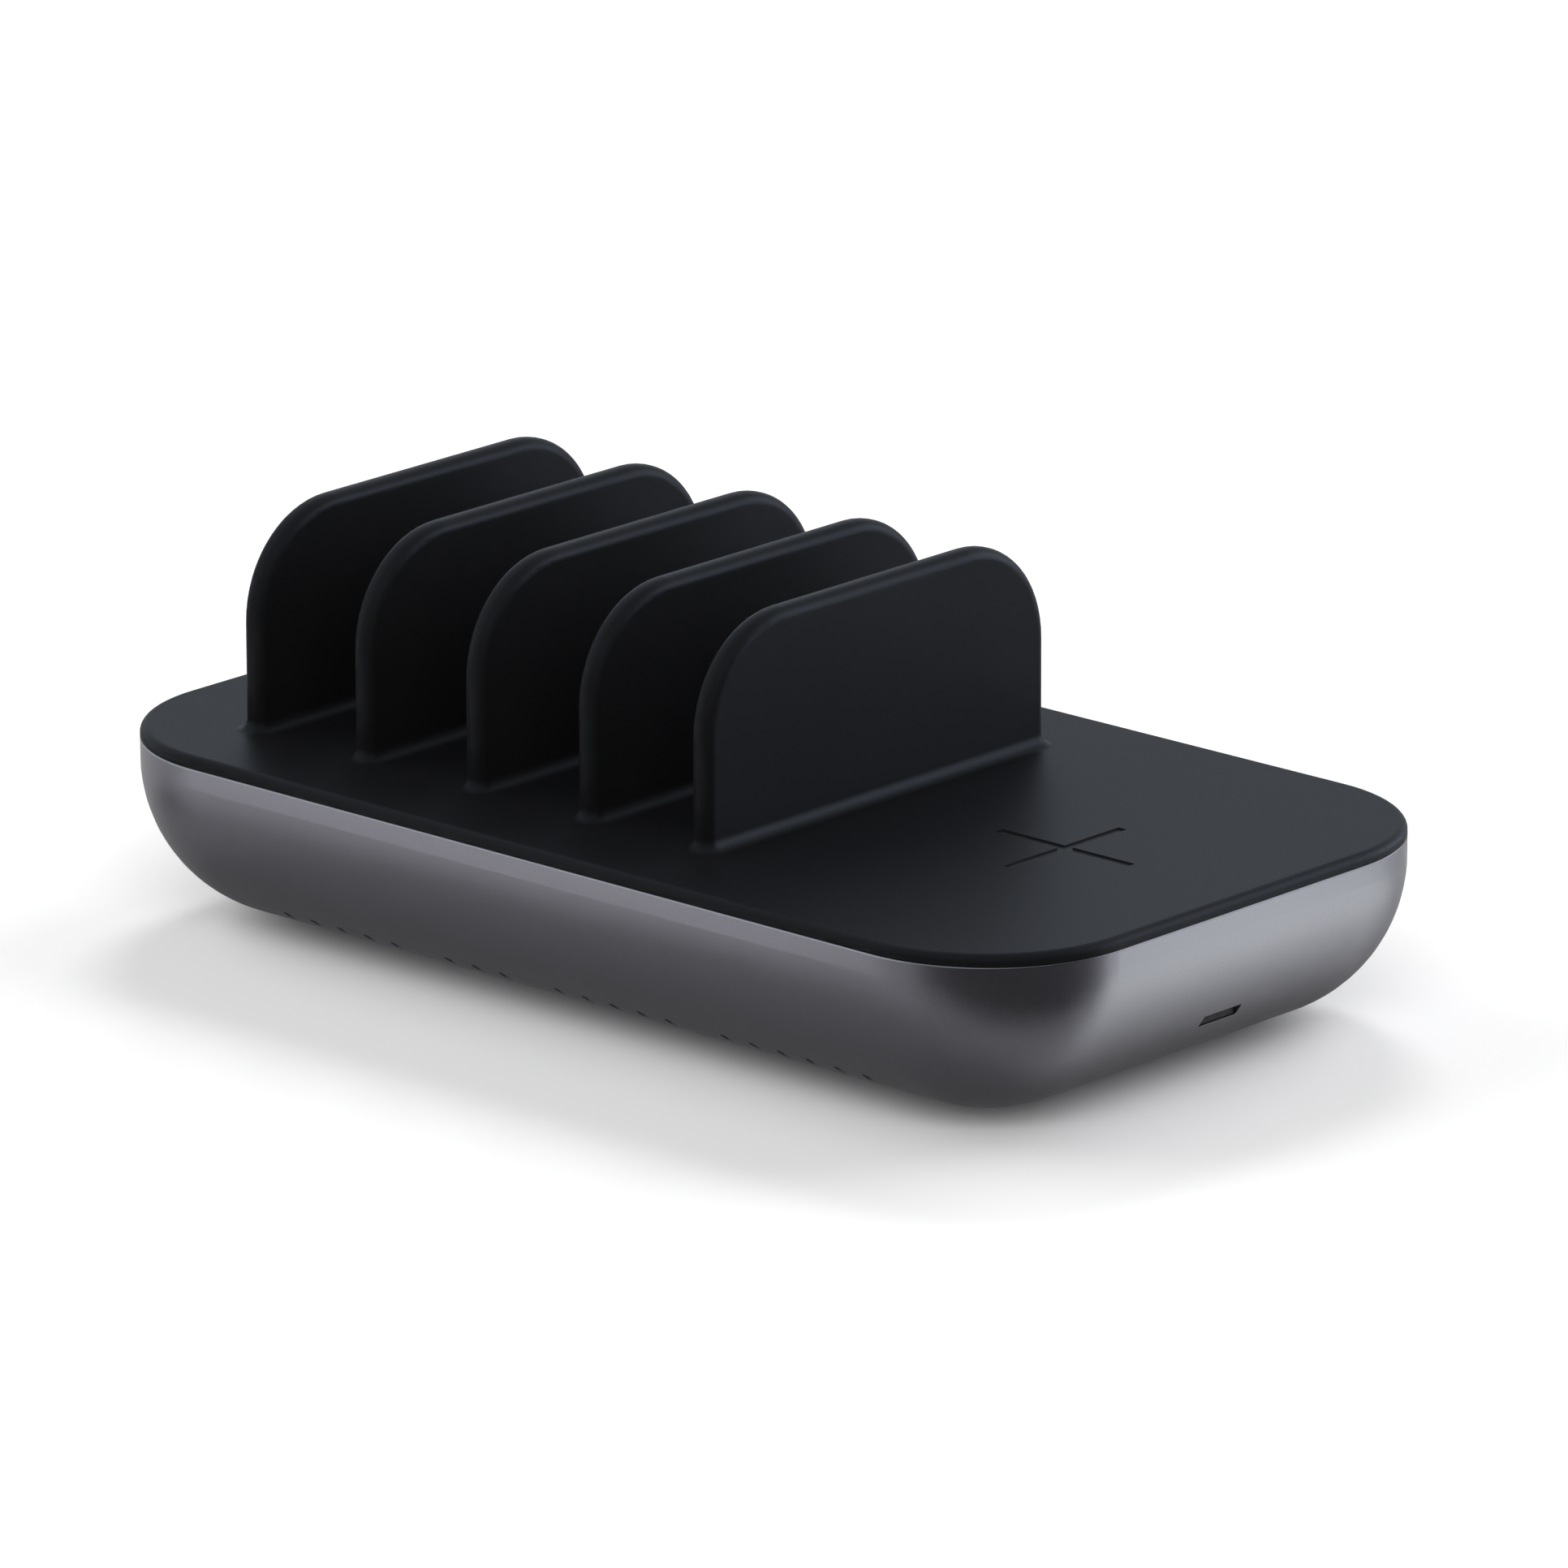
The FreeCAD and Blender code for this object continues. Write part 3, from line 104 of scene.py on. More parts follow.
class Graph:
    """Node tree of one material or world, with short calls for the nodes used here."""

    def __init__(self, tree):
        self.tree = tree
        self.tree.nodes.clear()

    def node(self, kind, settings=None, **inputs):
        made = self.tree.nodes.new(kind)
        for name, value in (settings or {}).items():
            setattr(made, name, value)
        for name, value in inputs.items():
            self.feed(made.inputs[name.replace("_", " ")], value)
        return made

    def feed(self, socket, value):
        """Links an output to a socket, or sets the socket's own value."""
        if isinstance(value, bpy.types.NodeSocket):
            self.tree.links.new(value, socket)
        elif isinstance(value, (tuple, list)) and len(value) == 3 and socket.type == "RGBA":
            socket.default_value = (*value, 1.0)
        else:
            socket.default_value = value

    def place(self):
        """Place on the part, in metres."""
        return self.node("ShaderNodeTexCoord").outputs["Object"]

    def axes(self, place):
        parts = self.node("ShaderNodeSeparateXYZ", Vector=place)
        return parts.outputs["X"], parts.outputs["Y"], parts.outputs["Z"]

    def stretched(self, place, scale):
        return self.node("ShaderNodeMapping", Vector=place, Scale=scale).outputs["Vector"]

    def noise(self, place, scale, detail, rough):
        """Noise with so many lumps to the metre, or to the unit of a stretched place."""
        made = self.node(
            "ShaderNodeTexNoise", Vector=place, Scale=scale, Detail=detail, Roughness=rough
        )
        return made.outputs["Factor" if "Factor" in made.outputs else "Fac"]

    def math(self, operation, first, second=0.0):
        made = self.node("ShaderNodeMath", {"operation": operation})
        self.feed(made.inputs[0], first)
        self.feed(made.inputs[1], second)
        return made.outputs[0]

    def spread(self, value, low, high, to_low, to_high, smooth=False):
        """Maps low to to_low and high to to_high, and stays there beyond them."""
        kind = "SMOOTHSTEP" if smooth else "LINEAR"
        made = self.node("ShaderNodeMapRange", {"interpolation_type": kind}, Value=value)
        made.inputs["From Min"].default_value = low
        made.inputs["From Max"].default_value = high
        made.inputs["To Min"].default_value = to_low
        made.inputs["To Max"].default_value = to_high
        return made.outputs["Result"]

    def blend(self, factor, first, second):
        made = self.node("ShaderNodeMix", {"data_type": "RGBA"})
        self.feed(made.inputs["Factor"], factor)
        self.feed(made.inputs[MIX_FIRST], first)
        self.feed(made.inputs[MIX_SECOND], second)
        return made.outputs[MIX_RESULT]

    def bump(self, height, distance, strength):
        made = self.node("ShaderNodeBump", Height=height, Distance=distance, Strength=strength)
        return made.outputs["Normal"]

    def shade(self, color, roughness, normal, **fixed):
        made = self.node("ShaderNodeBsdfPrincipled")
        self.feed(made.inputs["Base Color"], color)
        self.feed(made.inputs["Roughness"], roughness)
        self.feed(made.inputs["Normal"], normal)
        for name, value in fixed.items():
            self.feed(made.inputs[name.replace("_", " ")], value)
        self.finish(made.outputs["BSDF"])

    def finish(self, surface):
        end = self.node("ShaderNodeOutputMaterial")
        self.feed(end.inputs["Surface"], surface)


def graph_for(name):
    material = bpy.data.materials.new(name)
    material.use_nodes = True
    return material, Graph(material.node_tree)


# Finishes

NOISE_SPAN = (0.3, 0.7)
HALF_TURN = 0.5


def scaled(color, factor):
    return tuple(channel * factor for channel in color)


def mottled(graph, noise, color, shares, span=NOISE_SPAN):
    """Colour that goes with a noise from one share of itself to another."""
    darker, lighter = shares
    factor = graph.spread(noise, *span, 0.0, 1.0)
    return graph.blend(factor, scaled(color, darker), scaled(color, lighter))


def ridge_of(graph, run, pitch):
    """Distance from the middle of each pitch along a run, nought to half."""
    turn = graph.math("FRACT", graph.math("DIVIDE", run, pitch * MM))
    return graph.math("ABSOLUTE", graph.math("SUBTRACT", turn, HALF_TURN))


SHELL_GRAIN = dict(scale=2600.0, detail=3.0, rough=0.65)
SHELL_CLOUD = dict(scale=45.0, detail=3.0, rough=0.5)
SHELL_GRAIN_TONES = (0.92, 1.08)
SHELL_CLOUD_TONES = (0.97, 1.03)
SHELL_CLOUD_SPAN = (0.35, 0.65)
SHELL_CLOUD_SHARE = 0.35
SHELL_ROUGHNESS = (0.29, 0.33)
SHELL_BUMP = dict(distance=0.003 * MM, strength=0.4)
# Painted highlight and shade on the shell's top edge: above these heights the colour is raised to
# stand in for the edge's glint, and is darkened past the fade towards the pad end
PAINTED_EDGE_HEIGHTS = (29.05 * MM, 29.2 * MM)
PAINTED_EDGE_FADE = (80.0 * MM, 95.0 * MM)
PAINTED_EDGE_HIGHLIGHT = (0.42, 0.415, 0.425)
PAINTED_EDGE_SHADE = (0.115, 0.11, 0.11)


def blasted_aluminium(name, color):
    """Bead-blasted and anodised: fine even grain, faint cloudiness from the dye bath.

    A thin line along the upper edge is a painted highlight, a brighter colour standing in for the
    edge's glint, and it fades out towards the pad end into a painted darker shade."""
    material, graph = graph_for(name)
    place = graph.place()
    grain = graph.noise(place, **SHELL_GRAIN)
    cloud = graph.noise(place, **SHELL_CLOUD)
    fine = mottled(graph, grain, color, SHELL_GRAIN_TONES)
    slow = mottled(graph, cloud, color, SHELL_CLOUD_TONES, SHELL_CLOUD_SPAN)
    both = graph.blend(SHELL_CLOUD_SHARE, fine, slow)
    # Painted highlight along the top edge, which fades into a painted shade at the pad end
    x, _, height = graph.axes(place)
    fade = graph.spread(x, *PAINTED_EDGE_FADE, 0.0, 1.0, smooth=True)
    line = graph.blend(fade, PAINTED_EDGE_HIGHLIGHT, PAINTED_EDGE_SHADE)
    with_painted_edge = graph.blend(graph.spread(height, *PAINTED_EDGE_HEIGHTS, 0.0, 1.0), both, line)
    roughness = graph.spread(grain, *NOISE_SPAN, *SHELL_ROUGHNESS)
    graph.shade(with_painted_edge, roughness, graph.bump(grain, **SHELL_BUMP), Metallic=1.0)
    return material


SKIN_GRAIN = dict(scale=3200.0, detail=2.0, rough=0.6)
SKIN_CLOUD = dict(scale=60.0, detail=4.0, rough=0.55)
SKIN_TONES = (0.92, 1.08)
SKIN_SPECK_SPAN = (0.35, 0.7)
SKIN_SPECK_MOST = 0.3
SKIN_SPECK_LIFT = 1.5
SKIN_ROUGHNESS = (0.42, 0.50)
SKIN_HANDLED_HEIGHTS = (58.0 * MM, 65.0 * MM)
SKIN_HANDLED_SMOOTHER = 0.05
SKIN_BUMP = dict(distance=0.02 * MM, strength=0.35)
SKIN_SPECULAR = 0.10
SKIN_GLOSS = (0.86, 0.93, 1.0)
# Painted light in the sunk mark on the pad: its floor is made paler to make up for the shade in
# the groove
MARK_REACH = 13.5 * MM
MARK_HEIGHTS = (31.16 * MM, 31.22 * MM)
PAINTED_MARK_LIGHT = 2.6


def soft_touch(name, color):
    """Matt elastomer skin: a very fine moulded grain, slightly handled along the dividers' tops.

    The floor of the sunk mark on the pad is painted paler, a painted light that makes up for the
    shade in the groove."""
    material, graph = graph_for(name)
    place = graph.place()
    grain = graph.noise(place, **SKIN_GRAIN)
    cloud = graph.noise(place, **SKIN_CLOUD)
    x, y, height = graph.axes(place)
    handled = graph.spread(height, *SKIN_HANDLED_HEIGHTS, 0.0, 1.0, smooth=True)
    tone = mottled(graph, cloud, color, SKIN_TONES)
    specks = graph.spread(grain, *SKIN_SPECK_SPAN, 0.0, SKIN_SPECK_MOST)
    speckled = graph.blend(specks, tone, scaled(color, SKIN_SPECK_LIFT))
    # Painted light: inside the mark's reach and below its heights, the colour is lifted against
    # the groove's shade
    low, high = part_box("charging_coil")
    middle = (low + high) / 2
    sunk = graph.spread(height, *MARK_HEIGHTS, 1.0, 0.0)
    for run, centre in ((x, middle.x), (y, middle.y)):
        aside = graph.math("ABSOLUTE", graph.math("SUBTRACT", run, centre))
        sunk = graph.math("MULTIPLY", sunk, graph.math("LESS_THAN", aside, MARK_REACH))
    shown = graph.blend(sunk, speckled, scaled(color, PAINTED_MARK_LIGHT))
    matt = graph.spread(grain, *NOISE_SPAN, *SKIN_ROUGHNESS)
    smoother = graph.math("MULTIPLY", handled, SKIN_HANDLED_SMOOTHER)
    roughness = graph.math("SUBTRACT", matt, smoother)
    normal = graph.bump(grain, **SKIN_BUMP)
    gloss = dict(Specular_IOR_Level=SKIN_SPECULAR, Specular_Tint=SKIN_GLOSS)
    graph.shade(shown, roughness, normal, **gloss)
    return material


MOULD_GRAIN = dict(detail=3.0, rough=0.6)
MOULD_CLOUD = dict(scale=90.0, detail=3.0, rough=0.5)
MOULD_ROUGHNESS_CHANGE = 0.06
MOULD_BUMP_STRENGTH = 0.5


def moulded(name, color, roughness, grain_size, depth, patch=0.1, **fixed):
    """Moulded plastic, rubber or ceramic with a grain and a slow change of tone.

    Grain size and depth are in millimetres."""
    material, graph = graph_for(name)
    place = graph.place()
    grain = graph.noise(place, 1.0 / (grain_size * MM), **MOULD_GRAIN)
    cloud = graph.noise(place, **MOULD_CLOUD)
    tone = mottled(graph, cloud, color, (1.0 - patch, 1.0 + patch))
    smoothest, roughest = roughness - MOULD_ROUGHNESS_CHANGE, roughness + MOULD_ROUGHNESS_CHANGE
    rough = graph.spread(grain, *NOISE_SPAN, smoothest, roughest)
    graph.shade(tone, rough, graph.bump(grain, depth * MM, MOULD_BUMP_STRENGTH), **fixed)
    return material


DRAWN_STRETCH = 0.02
DRAWN_LINES = dict(scale=1.0, detail=2.0, rough=0.6)
DRAWN_CLOUD = dict(scale=160.0, detail=3.0, rough=0.5)
DRAWN_TONES = (0.88, 1.12)
DRAWN_ROUGHNESS_CHANGE = 0.07
DRAWN_BUMP = dict(distance=0.004 * MM, strength=0.4)


def drawn_metal(name, color, roughness, along, line):
    """Plated or drawn metal: fine lines along one axis, their width in millimetres, and a
    cloudy plating."""
    material, graph = graph_for(name)
    place = graph.place()
    scale = [1.0 / (line * MM)] * 3
    scale["XYZ".index(along)] *= DRAWN_STRETCH
    lines = graph.noise(graph.stretched(place, scale), **DRAWN_LINES)
    cloud = graph.noise(place, **DRAWN_CLOUD)
    tone = mottled(graph, cloud, color, DRAWN_TONES)
    smoothest, roughest = roughness - DRAWN_ROUGHNESS_CHANGE, roughness + DRAWN_ROUGHNESS_CHANGE
    rough = graph.spread(lines, *NOISE_SPAN, smoothest, roughest)
    graph.shade(tone, rough, graph.bump(lines, **DRAWN_BUMP), Metallic=1.0)
    return material


STRIPE_EDGE = 0.06
STRIPE_CLOUD = dict(scale=140.0, detail=3.0, rough=0.5)
STRIPE_TONES = (0.92, 1.06)
STRIPE_ROUGHNESS_CHANGE = 0.06
STRIPE_BUMP_STRENGTH = 0.6


def striped(name, color, stripe, along, pitch, share, roughness, depth):
    """Stripes across one axis: a ribbon cable's conductors or the turns of a tape.

    Pitch and depth are in millimetres, and share is how much of the pitch a stripe takes."""
    material, graph = graph_for(name)
    place = graph.place()
    ridge = ridge_of(graph, graph.axes(place)["XYZ".index(along)], pitch)
    inner, outer = share / 2 - STRIPE_EDGE, share / 2 + STRIPE_EDGE
    mask = graph.spread(ridge, inner, outer, 1.0, 0.0, smooth=True)
    cloud = graph.noise(place, **STRIPE_CLOUD)
    tone = graph.blend(mask, mottled(graph, cloud, color, STRIPE_TONES), stripe)
    smoothest, roughest = roughness - STRIPE_ROUGHNESS_CHANGE, roughness + STRIPE_ROUGHNESS_CHANGE
    rough = graph.spread(cloud, *NOISE_SPAN, smoothest, roughest)
    graph.shade(tone, rough, graph.bump(mask, depth * MM, STRIPE_BUMP_STRENGTH), Metallic=0.0)
    return material


COIL_GAP_FROM = 0.25
COIL_GAP_TONE = 0.3
COIL_ROUGHNESS = (0.25, 0.5)
COIL_BUMP = dict(distance=0.12 * MM, strength=0.8)


def wound_coil(name, color, pitch):
    """Flat spiral of enamelled wire, as rings round the coil's centre, a pitch in millimetres."""
    material, graph = graph_for(name)
    place = graph.place()
    low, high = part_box("charging_coil")
    middle = (low + high) / 2
    to_middle = (-middle.x, -middle.y, 0.0)
    shift = graph.node("ShaderNodeMapping", Vector=place, Location=to_middle)
    x, y, _ = graph.axes(shift.outputs["Vector"])
    squares = graph.math("ADD", graph.math("MULTIPLY", x, x), graph.math("MULTIPLY", y, y))
    ridge = ridge_of(graph, graph.math("SQRT", squares), pitch)
    gap = graph.spread(ridge, COIL_GAP_FROM, HALF_TURN, 0.0, 1.0, smooth=True)
    tone = graph.blend(gap, color, scaled(color, COIL_GAP_TONE))
    rough = graph.spread(ridge, 0.0, HALF_TURN, *COIL_ROUGHNESS)
    height = graph.spread(ridge, 0.0, HALF_TURN, 1.0, 0.0, smooth=True)
    graph.shade(tone, rough, graph.bump(height, **COIL_BUMP), Metallic=1.0)
    return material


BOARD_WEAVE_SCALE = (1800.0, 1800.0, 1800.0)
BOARD_WEAVE = dict(scale=1.0, detail=1.0, rough=0.4)
BOARD_CELLS = 180.0
BOARD_CELL_OFFSET = 0.37
BOARD_CELL_TONES = (0.9, 1.05)
BOARD_TRACK_WIDTH = 0.05
BOARD_TRACK_TONE = 1.7
BOARD_ROUGHNESS = (0.24, 0.36)
BOARD_BUMP = dict(distance=0.01 * MM, strength=0.4)
BOARD_SPECULAR = 0.5


def circuit_board(name, color):
    """Solder mask over glass cloth, with the paler tracks that show through it."""
    material, graph = graph_for(name)
    place = graph.place()
    weave = graph.noise(graph.stretched(place, BOARD_WEAVE_SCALE), **BOARD_WEAVE)
    darker, lighter = BOARD_CELL_TONES
    cells = graph.node(
        "ShaderNodeTexBrick",
        {"offset": BOARD_CELL_OFFSET},
        Vector=place,
        Scale=BOARD_CELLS,
        Mortar_Size=BOARD_TRACK_WIDTH,
        Color1=scaled(color, darker),
        Color2=scaled(color, lighter),
        Mortar=scaled(color, BOARD_TRACK_TONE),
    )
    rough = graph.spread(weave, *NOISE_SPAN, *BOARD_ROUGHNESS)
    normal = graph.bump(weave, **BOARD_BUMP)
    graph.shade(cells.outputs["Color"], rough, normal, Specular_IOR_Level=BOARD_SPECULAR)
    return material


WINDOW_FLOW_SCALE = (300.0, 900.0, 300.0)
WINDOW_FLOW = dict(scale=1.0, detail=2.0, rough=0.5)
WINDOW_TONES = (0.85, 1.2)
WINDOW_ROUGHNESS = (0.38, 0.46)
WINDOW_BUMP = dict(distance=0.004 * MM, strength=0.3)
WINDOW_SPECULAR = 0.06


def smoked_window(name, color):
    """Dark window, satin outside, with a faint flow mark from the mould."""
    material, graph = graph_for(name)
    flow = graph.noise(graph.stretched(graph.place(), WINDOW_FLOW_SCALE), **WINDOW_FLOW)
    tone = mottled(graph, flow, color, WINDOW_TONES)
    rough = graph.spread(flow, *NOISE_SPAN, *WINDOW_ROUGHNESS)
    normal = graph.bump(flow, **WINDOW_BUMP)
    graph.shade(tone, rough, normal, Specular_IOR_Level=WINDOW_SPECULAR)
    return material


# Each slot's kind of finish, its colour and its settings
SLOTS = {
    "shell_aluminium": (blasted_aluminium, (0.246, 0.240, 0.272), {}),
    "skin_black": (soft_touch, (0.0046, 0.0046, 0.0049), {}),
    "window_smoked": (smoked_window, (0.03, 0.03, 0.033), {}),
    "deck_plastic": (
        moulded, (0.05, 0.05, 0.055), dict(roughness=0.55, grain_size=0.3, depth=0.03)),
    "cover_plastic": (
        moulded, (0.03, 0.03, 0.032), dict(roughness=0.58, grain_size=0.35, depth=0.05)),
    "foot_rubber": (
        moulded, (0.04, 0.04, 0.042),
        dict(roughness=0.75, grain_size=0.4, depth=0.06, Specular_IOR_Level=0.3)),
    "screw_steel": (drawn_metal, (0.42, 0.42, 0.43), dict(roughness=0.38, along="X", line=0.08)),
    "board_green": (circuit_board, (0.02, 0.13, 0.06), {}),
    "socket_steel": (drawn_metal, (0.62, 0.62, 0.64), dict(roughness=0.26, along="Y", line=0.05)),
    "socket_plastic": (
        moulded, (0.03, 0.03, 0.032), dict(roughness=0.5, grain_size=0.15, depth=0.01)),
    "inlet_plastic": (
        moulded, (0.028, 0.028, 0.03), dict(roughness=0.5, grain_size=0.25, depth=0.03)),
    "pin_nickel": (drawn_metal, (0.7, 0.66, 0.56), dict(roughness=0.22, along="Y", line=0.05)),
    "fuse_brown": (
        moulded, (0.2, 0.12, 0.07), dict(roughness=0.42, grain_size=0.3, depth=0.02)),
    "copper": (wound_coil, (0.62, 0.27, 0.12), dict(pitch=0.55)),
    "film_yellow": (
        moulded, (0.65, 0.48, 0.06), dict(roughness=0.4, grain_size=0.3, depth=0.02)),
    "chip_black": (
        moulded, (0.028, 0.028, 0.03), dict(roughness=0.6, grain_size=0.12, depth=0.02)),
    "can_sleeve": (
        striped, (0.02, 0.024, 0.04),
        dict(stripe=(0.03, 0.035, 0.05), along="Z", pitch=3.0, share=0.3, roughness=0.25,
             depth=0.01)),
    "sink_aluminium": (drawn_metal, (0.6, 0.6, 0.62), dict(roughness=0.32, along="Z", line=0.1)),
    "ferrite": (
        moulded, (0.07, 0.07, 0.075),
        dict(roughness=0.65, grain_size=0.2, depth=0.04, patch=0.2)),
    "winding_tape": (
        striped, (0.72, 0.55, 0.09),
        dict(stripe=(0.6, 0.43, 0.05), along="Z", pitch=4.0, share=0.12, roughness=0.3,
             depth=0.05)),
    "tray_plastic": (
        moulded, (0.7, 0.7, 0.68),
        dict(roughness=0.5, grain_size=0.3, depth=0.02, patch=0.04)),
    "ribbon_film": (
        striped, (0.78, 0.76, 0.7),
        dict(stripe=(0.45, 0.4, 0.33), along="Y", pitch=1.0, share=0.5, roughness=0.4,
             depth=0.05)),
    "lamp_white": (
        moulded, (0.85, 0.85, 0.75),
        dict(roughness=0.25, grain_size=0.2, depth=0.01, patch=0.05)),
    "sheet_black": (
        moulded, (0.04, 0.04, 0.04), dict(roughness=0.6, grain_size=0.5, depth=0.05)),
}
FINISHES = {slot: make(slot, color, **settings) for slot, (make, color, settings) in SLOTS.items()}


def dress_nodes():
    """Gives every CAD node the finish of its material slot."""
    for part in frame["record"]["subparts"]:
        mesh = frame["nodes"][part["node"]].data
        mesh.materials.clear()
        mesh.materials.append(FINISHES[part["material_slot"]])


# Contact strips in the sockets, in millimetres

STRIP_EDGE = 0.008
USB_A_PLACES = (-3.5, -1.0, 1.0, 3.5)
USB_A_STRIP_WIDTH = 1.0
USB_A_STRIP_THICKNESS = 0.14
USB_A_TONGUE_UNDER = 0.03
USB_A_TONGUE_FRONT = 1.5
# The bowed spring: distance behind the tongue's front and drop below the tongue
USB_A_BOW = ((9.0, 0.0), (7.0, 0.02), (4.6, 0.24), (2.6, 0.42), (1.5, 0.27), (0.7, 0.04))
USB_C_COUNT = 12
USB_C_PITCH = 0.5
USB_C_STRIP_WIDTH = 0.25
USB_C_STRIP_THICKNESS = 0.03
USB_C_TONGUE_HALF = 0.35
USB_C_TONGUE_FRONT = 1.0
# Both ends of a strip, behind the tongue's front; ground and power strips reach further
USB_C_SHORT = (4.9, 0.9)
USB_C_LONG = (4.9, 0.5)
USB_C_LONG_PLACES = (0, 3, 8, 11)


def add_strip(shape, x, width, rows):
    """Closed strip of the given width along rows of (y, low z, high z)."""
    left, right = x - width / 2, x + width / 2
    rings = []
    for y, low, high in rows:
        corners = ((left, low), (right, low), (right, high), (left, high))
        rings.append([shape.verts.new(Vector((across, y, z)) * MM) for across, z in corners])
    for near, far in zip(rings, rings[1:]):
        for i in range(len(near)):
            j = (i + 1) % len(near)
            shape.faces.new((near[i], near[j], far[j], far[i]))
    shape.faces.new(rings[0])
    shape.faces.new(rings[-1])


def add_contacts(name, strips):
    """One piece of trim riding on the part, made of closed strips of (x, width, rows)."""
    shape = bmesh.new()
    for strip in strips:
        add_strip(shape, *strip)
    bmesh.ops.recalc_face_normals(shape, faces=shape.faces)
    bmesh.ops.bevel(
        shape, geom=shape.edges[:], offset=STRIP_EDGE * MM, segments=1, affect="EDGES"
    )
    mesh = bpy.data.meshes.new(name)
    shape.to_mesh(mesh)
    shape.free()
    mesh.materials.append(FINISHES["pin_nickel"])
    piece = bpy.data.objects.new(name, mesh)
    bpy.context.scene.collection.objects.link(piece)
    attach(piece, "root")


def socket_middle(shell):
    """Middle of a socket's mouth: x, the mouth's y, z."""
    low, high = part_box(shell)
    return (low.x + high.x) / 2 / MM, high.y / MM, (low.z + high.z) / 2 / MM


def add_usb_a_contacts(index):
    x, mouth, z = socket_middle(f"usb_a_shell_{index}")
    front = mouth - USB_A_TONGUE_FRONT
    under = z + USB_A_TONGUE_UNDER
    rows = [
        (front - back, under - drop - USB_A_STRIP_THICKNESS, under - drop)
        for back, drop in USB_A_BOW
    ]
    strips = [(x + place, USB_A_STRIP_WIDTH, rows) for place in USB_A_PLACES]
    add_contacts(f"usb_a_contacts_{index}", strips)


def add_usb_c_contacts(index):
    x, mouth, z = socket_middle(f"usb_c_shell_{index}")
    front = mouth - USB_C_TONGUE_FRONT
    top, under = z + USB_C_TONGUE_HALF, z - USB_C_TONGUE_HALF
    sides = ((top, top + USB_C_STRIP_THICKNESS), (under - USB_C_STRIP_THICKNESS, under))
    strips = []
    for number in range(USB_C_COUNT):
        place = x + (number - (USB_C_COUNT - 1) / 2) * USB_C_PITCH
        back, tip = USB_C_LONG if number in USB_C_LONG_PLACES else USB_C_SHORT
        for low, high in sides:
            rows = [(front - back, low, high), (front - tip, low, high)]
            strips.append((place, USB_C_STRIP_WIDTH, rows))
    add_contacts(f"usb_c_contacts_{index}", strips)


# Studio

PLAIN_WHITE = (1.0, 1.0, 1.0)
FLOOR_HALF = 6.0
FLOOR_DROP = 0.05 * MM
FLOOR_PALE = (0.8, 0.8, 0.8)
FLOOR_SEEN = (0.97, 0.97, 0.97)
FLOOR_IN_GLOSS = (0.485, 0.485, 0.485)
AMBIENT = 0.16
SKY_COOL = (0.745, 0.82, 0.94)
CARD_HALF = 0.9
BODY_CORNER = 25.5
FLAG_STEPS = 24

# Softboxes: direction towards each, its distance and sides in metres, and its radiance
SOFTBOXES = (
    ("key_back", (-0.58, 0.76, 1.0), 1.15, (0.32, 0.32), 12.9),
    ("fill_back", (0.3, 0.9, 0.6), 1.2, (1.0, 1.0), 2.95),
    ("fill_left", (-0.9, -0.4, 0.6), 1.2, (1.0, 1.0), 2.7),
    ("fill_front", (0.66, -0.70, 0.5), 1.2, (1.0, 1.0), 3.4),
)

# An edge of a card is a point on it, the heading that points inside and the width over which
# the card fades in, in millimetres and degrees

# Flat cards: level over the floor in millimetres, radiance, tint and edges
CARDS = (
    ("card_left", 0.4, 1.65, PLAIN_WHITE, (
        ((0.0, -104.0), -90.0, 22.0),
        ((60.0, -60.0), 158.0, 40.0),
        ((-190.0, 0.0), 0.0, 40.0),
        ((0.0, -165.0), 90.0, 30.0),
    )),
    ("card_right", 0.6, 1.68, (0.95, 1.0, 0.955), (
        ((83.0, 0.0), 0.0, 46.0),
        ((102.0, -35.6), 133.0, 12.0),
        ((0.0, 140.0), -90.0, 50.0),
    )),
    ("card_end", 0.7, 0.12, PLAIN_WHITE, (
        ((-91.0, 0.0), 180.0, 36.0),
        ((0.0, -105.0), 90.0, 40.0),
        ((0.0, -40.0), -90.0, 40.0),
        ((-160.0, 0.0), 0.0, 35.0),
    )),
    ("card_front", 0.8, 0.085, PLAIN_WHITE, (
        ((93.0, -34.5), -20.0, 34.0),
        ((101.0, -34.5), -47.0, 14.0),
    )),
)

# Dark cards close round the part: level, the two distances from the part's outline between
# which the card fades out, in millimetres, its cover at the nearer one, radiance and edges
CONTACT_CARDS = (
    ("card_contact", 0.5, (0.0, 60.0), 0.72, 0.225, (((112.0, 0.0), 180.0, 40.0),)),
    ("card_under", 0.55, (-14.0, 9.0), 0.5, 0.06, (((104.0, 0.0), 180.0, 30.0),)),
)

# Upright curved cards: centre, radius, first and last heading in degrees, height and radiance
# for each colour, with lengths in millimetres
UPRIGHT_CARDS = (
    ("flag_front", (69.5, -28.0), 450.0, (-105.0, 32.0), 300.0, (0.075, 0.075, 0.075)),
    ("panel_right", (0.0, 0.0), 600.0, (25.0, 80.0), 420.0, (3.25, 3.58, 4.35)),
)


def seen_directly(graph):
    """One for camera, glossy and transmitted rays, nought for the rest."""
    path = graph.node("ShaderNodeLightPath").outputs
    either = graph.math("MAXIMUM", path["Is Camera Ray"], path["Is Glossy Ray"])
    return graph.math("MAXIMUM", either, path["Is Transmission Ray"])


def seen_in_gloss(graph):
    """One for glossy rays, nought for the rest."""
    return graph.node("ShaderNodeLightPath").outputs["Is Glossy Ray"]


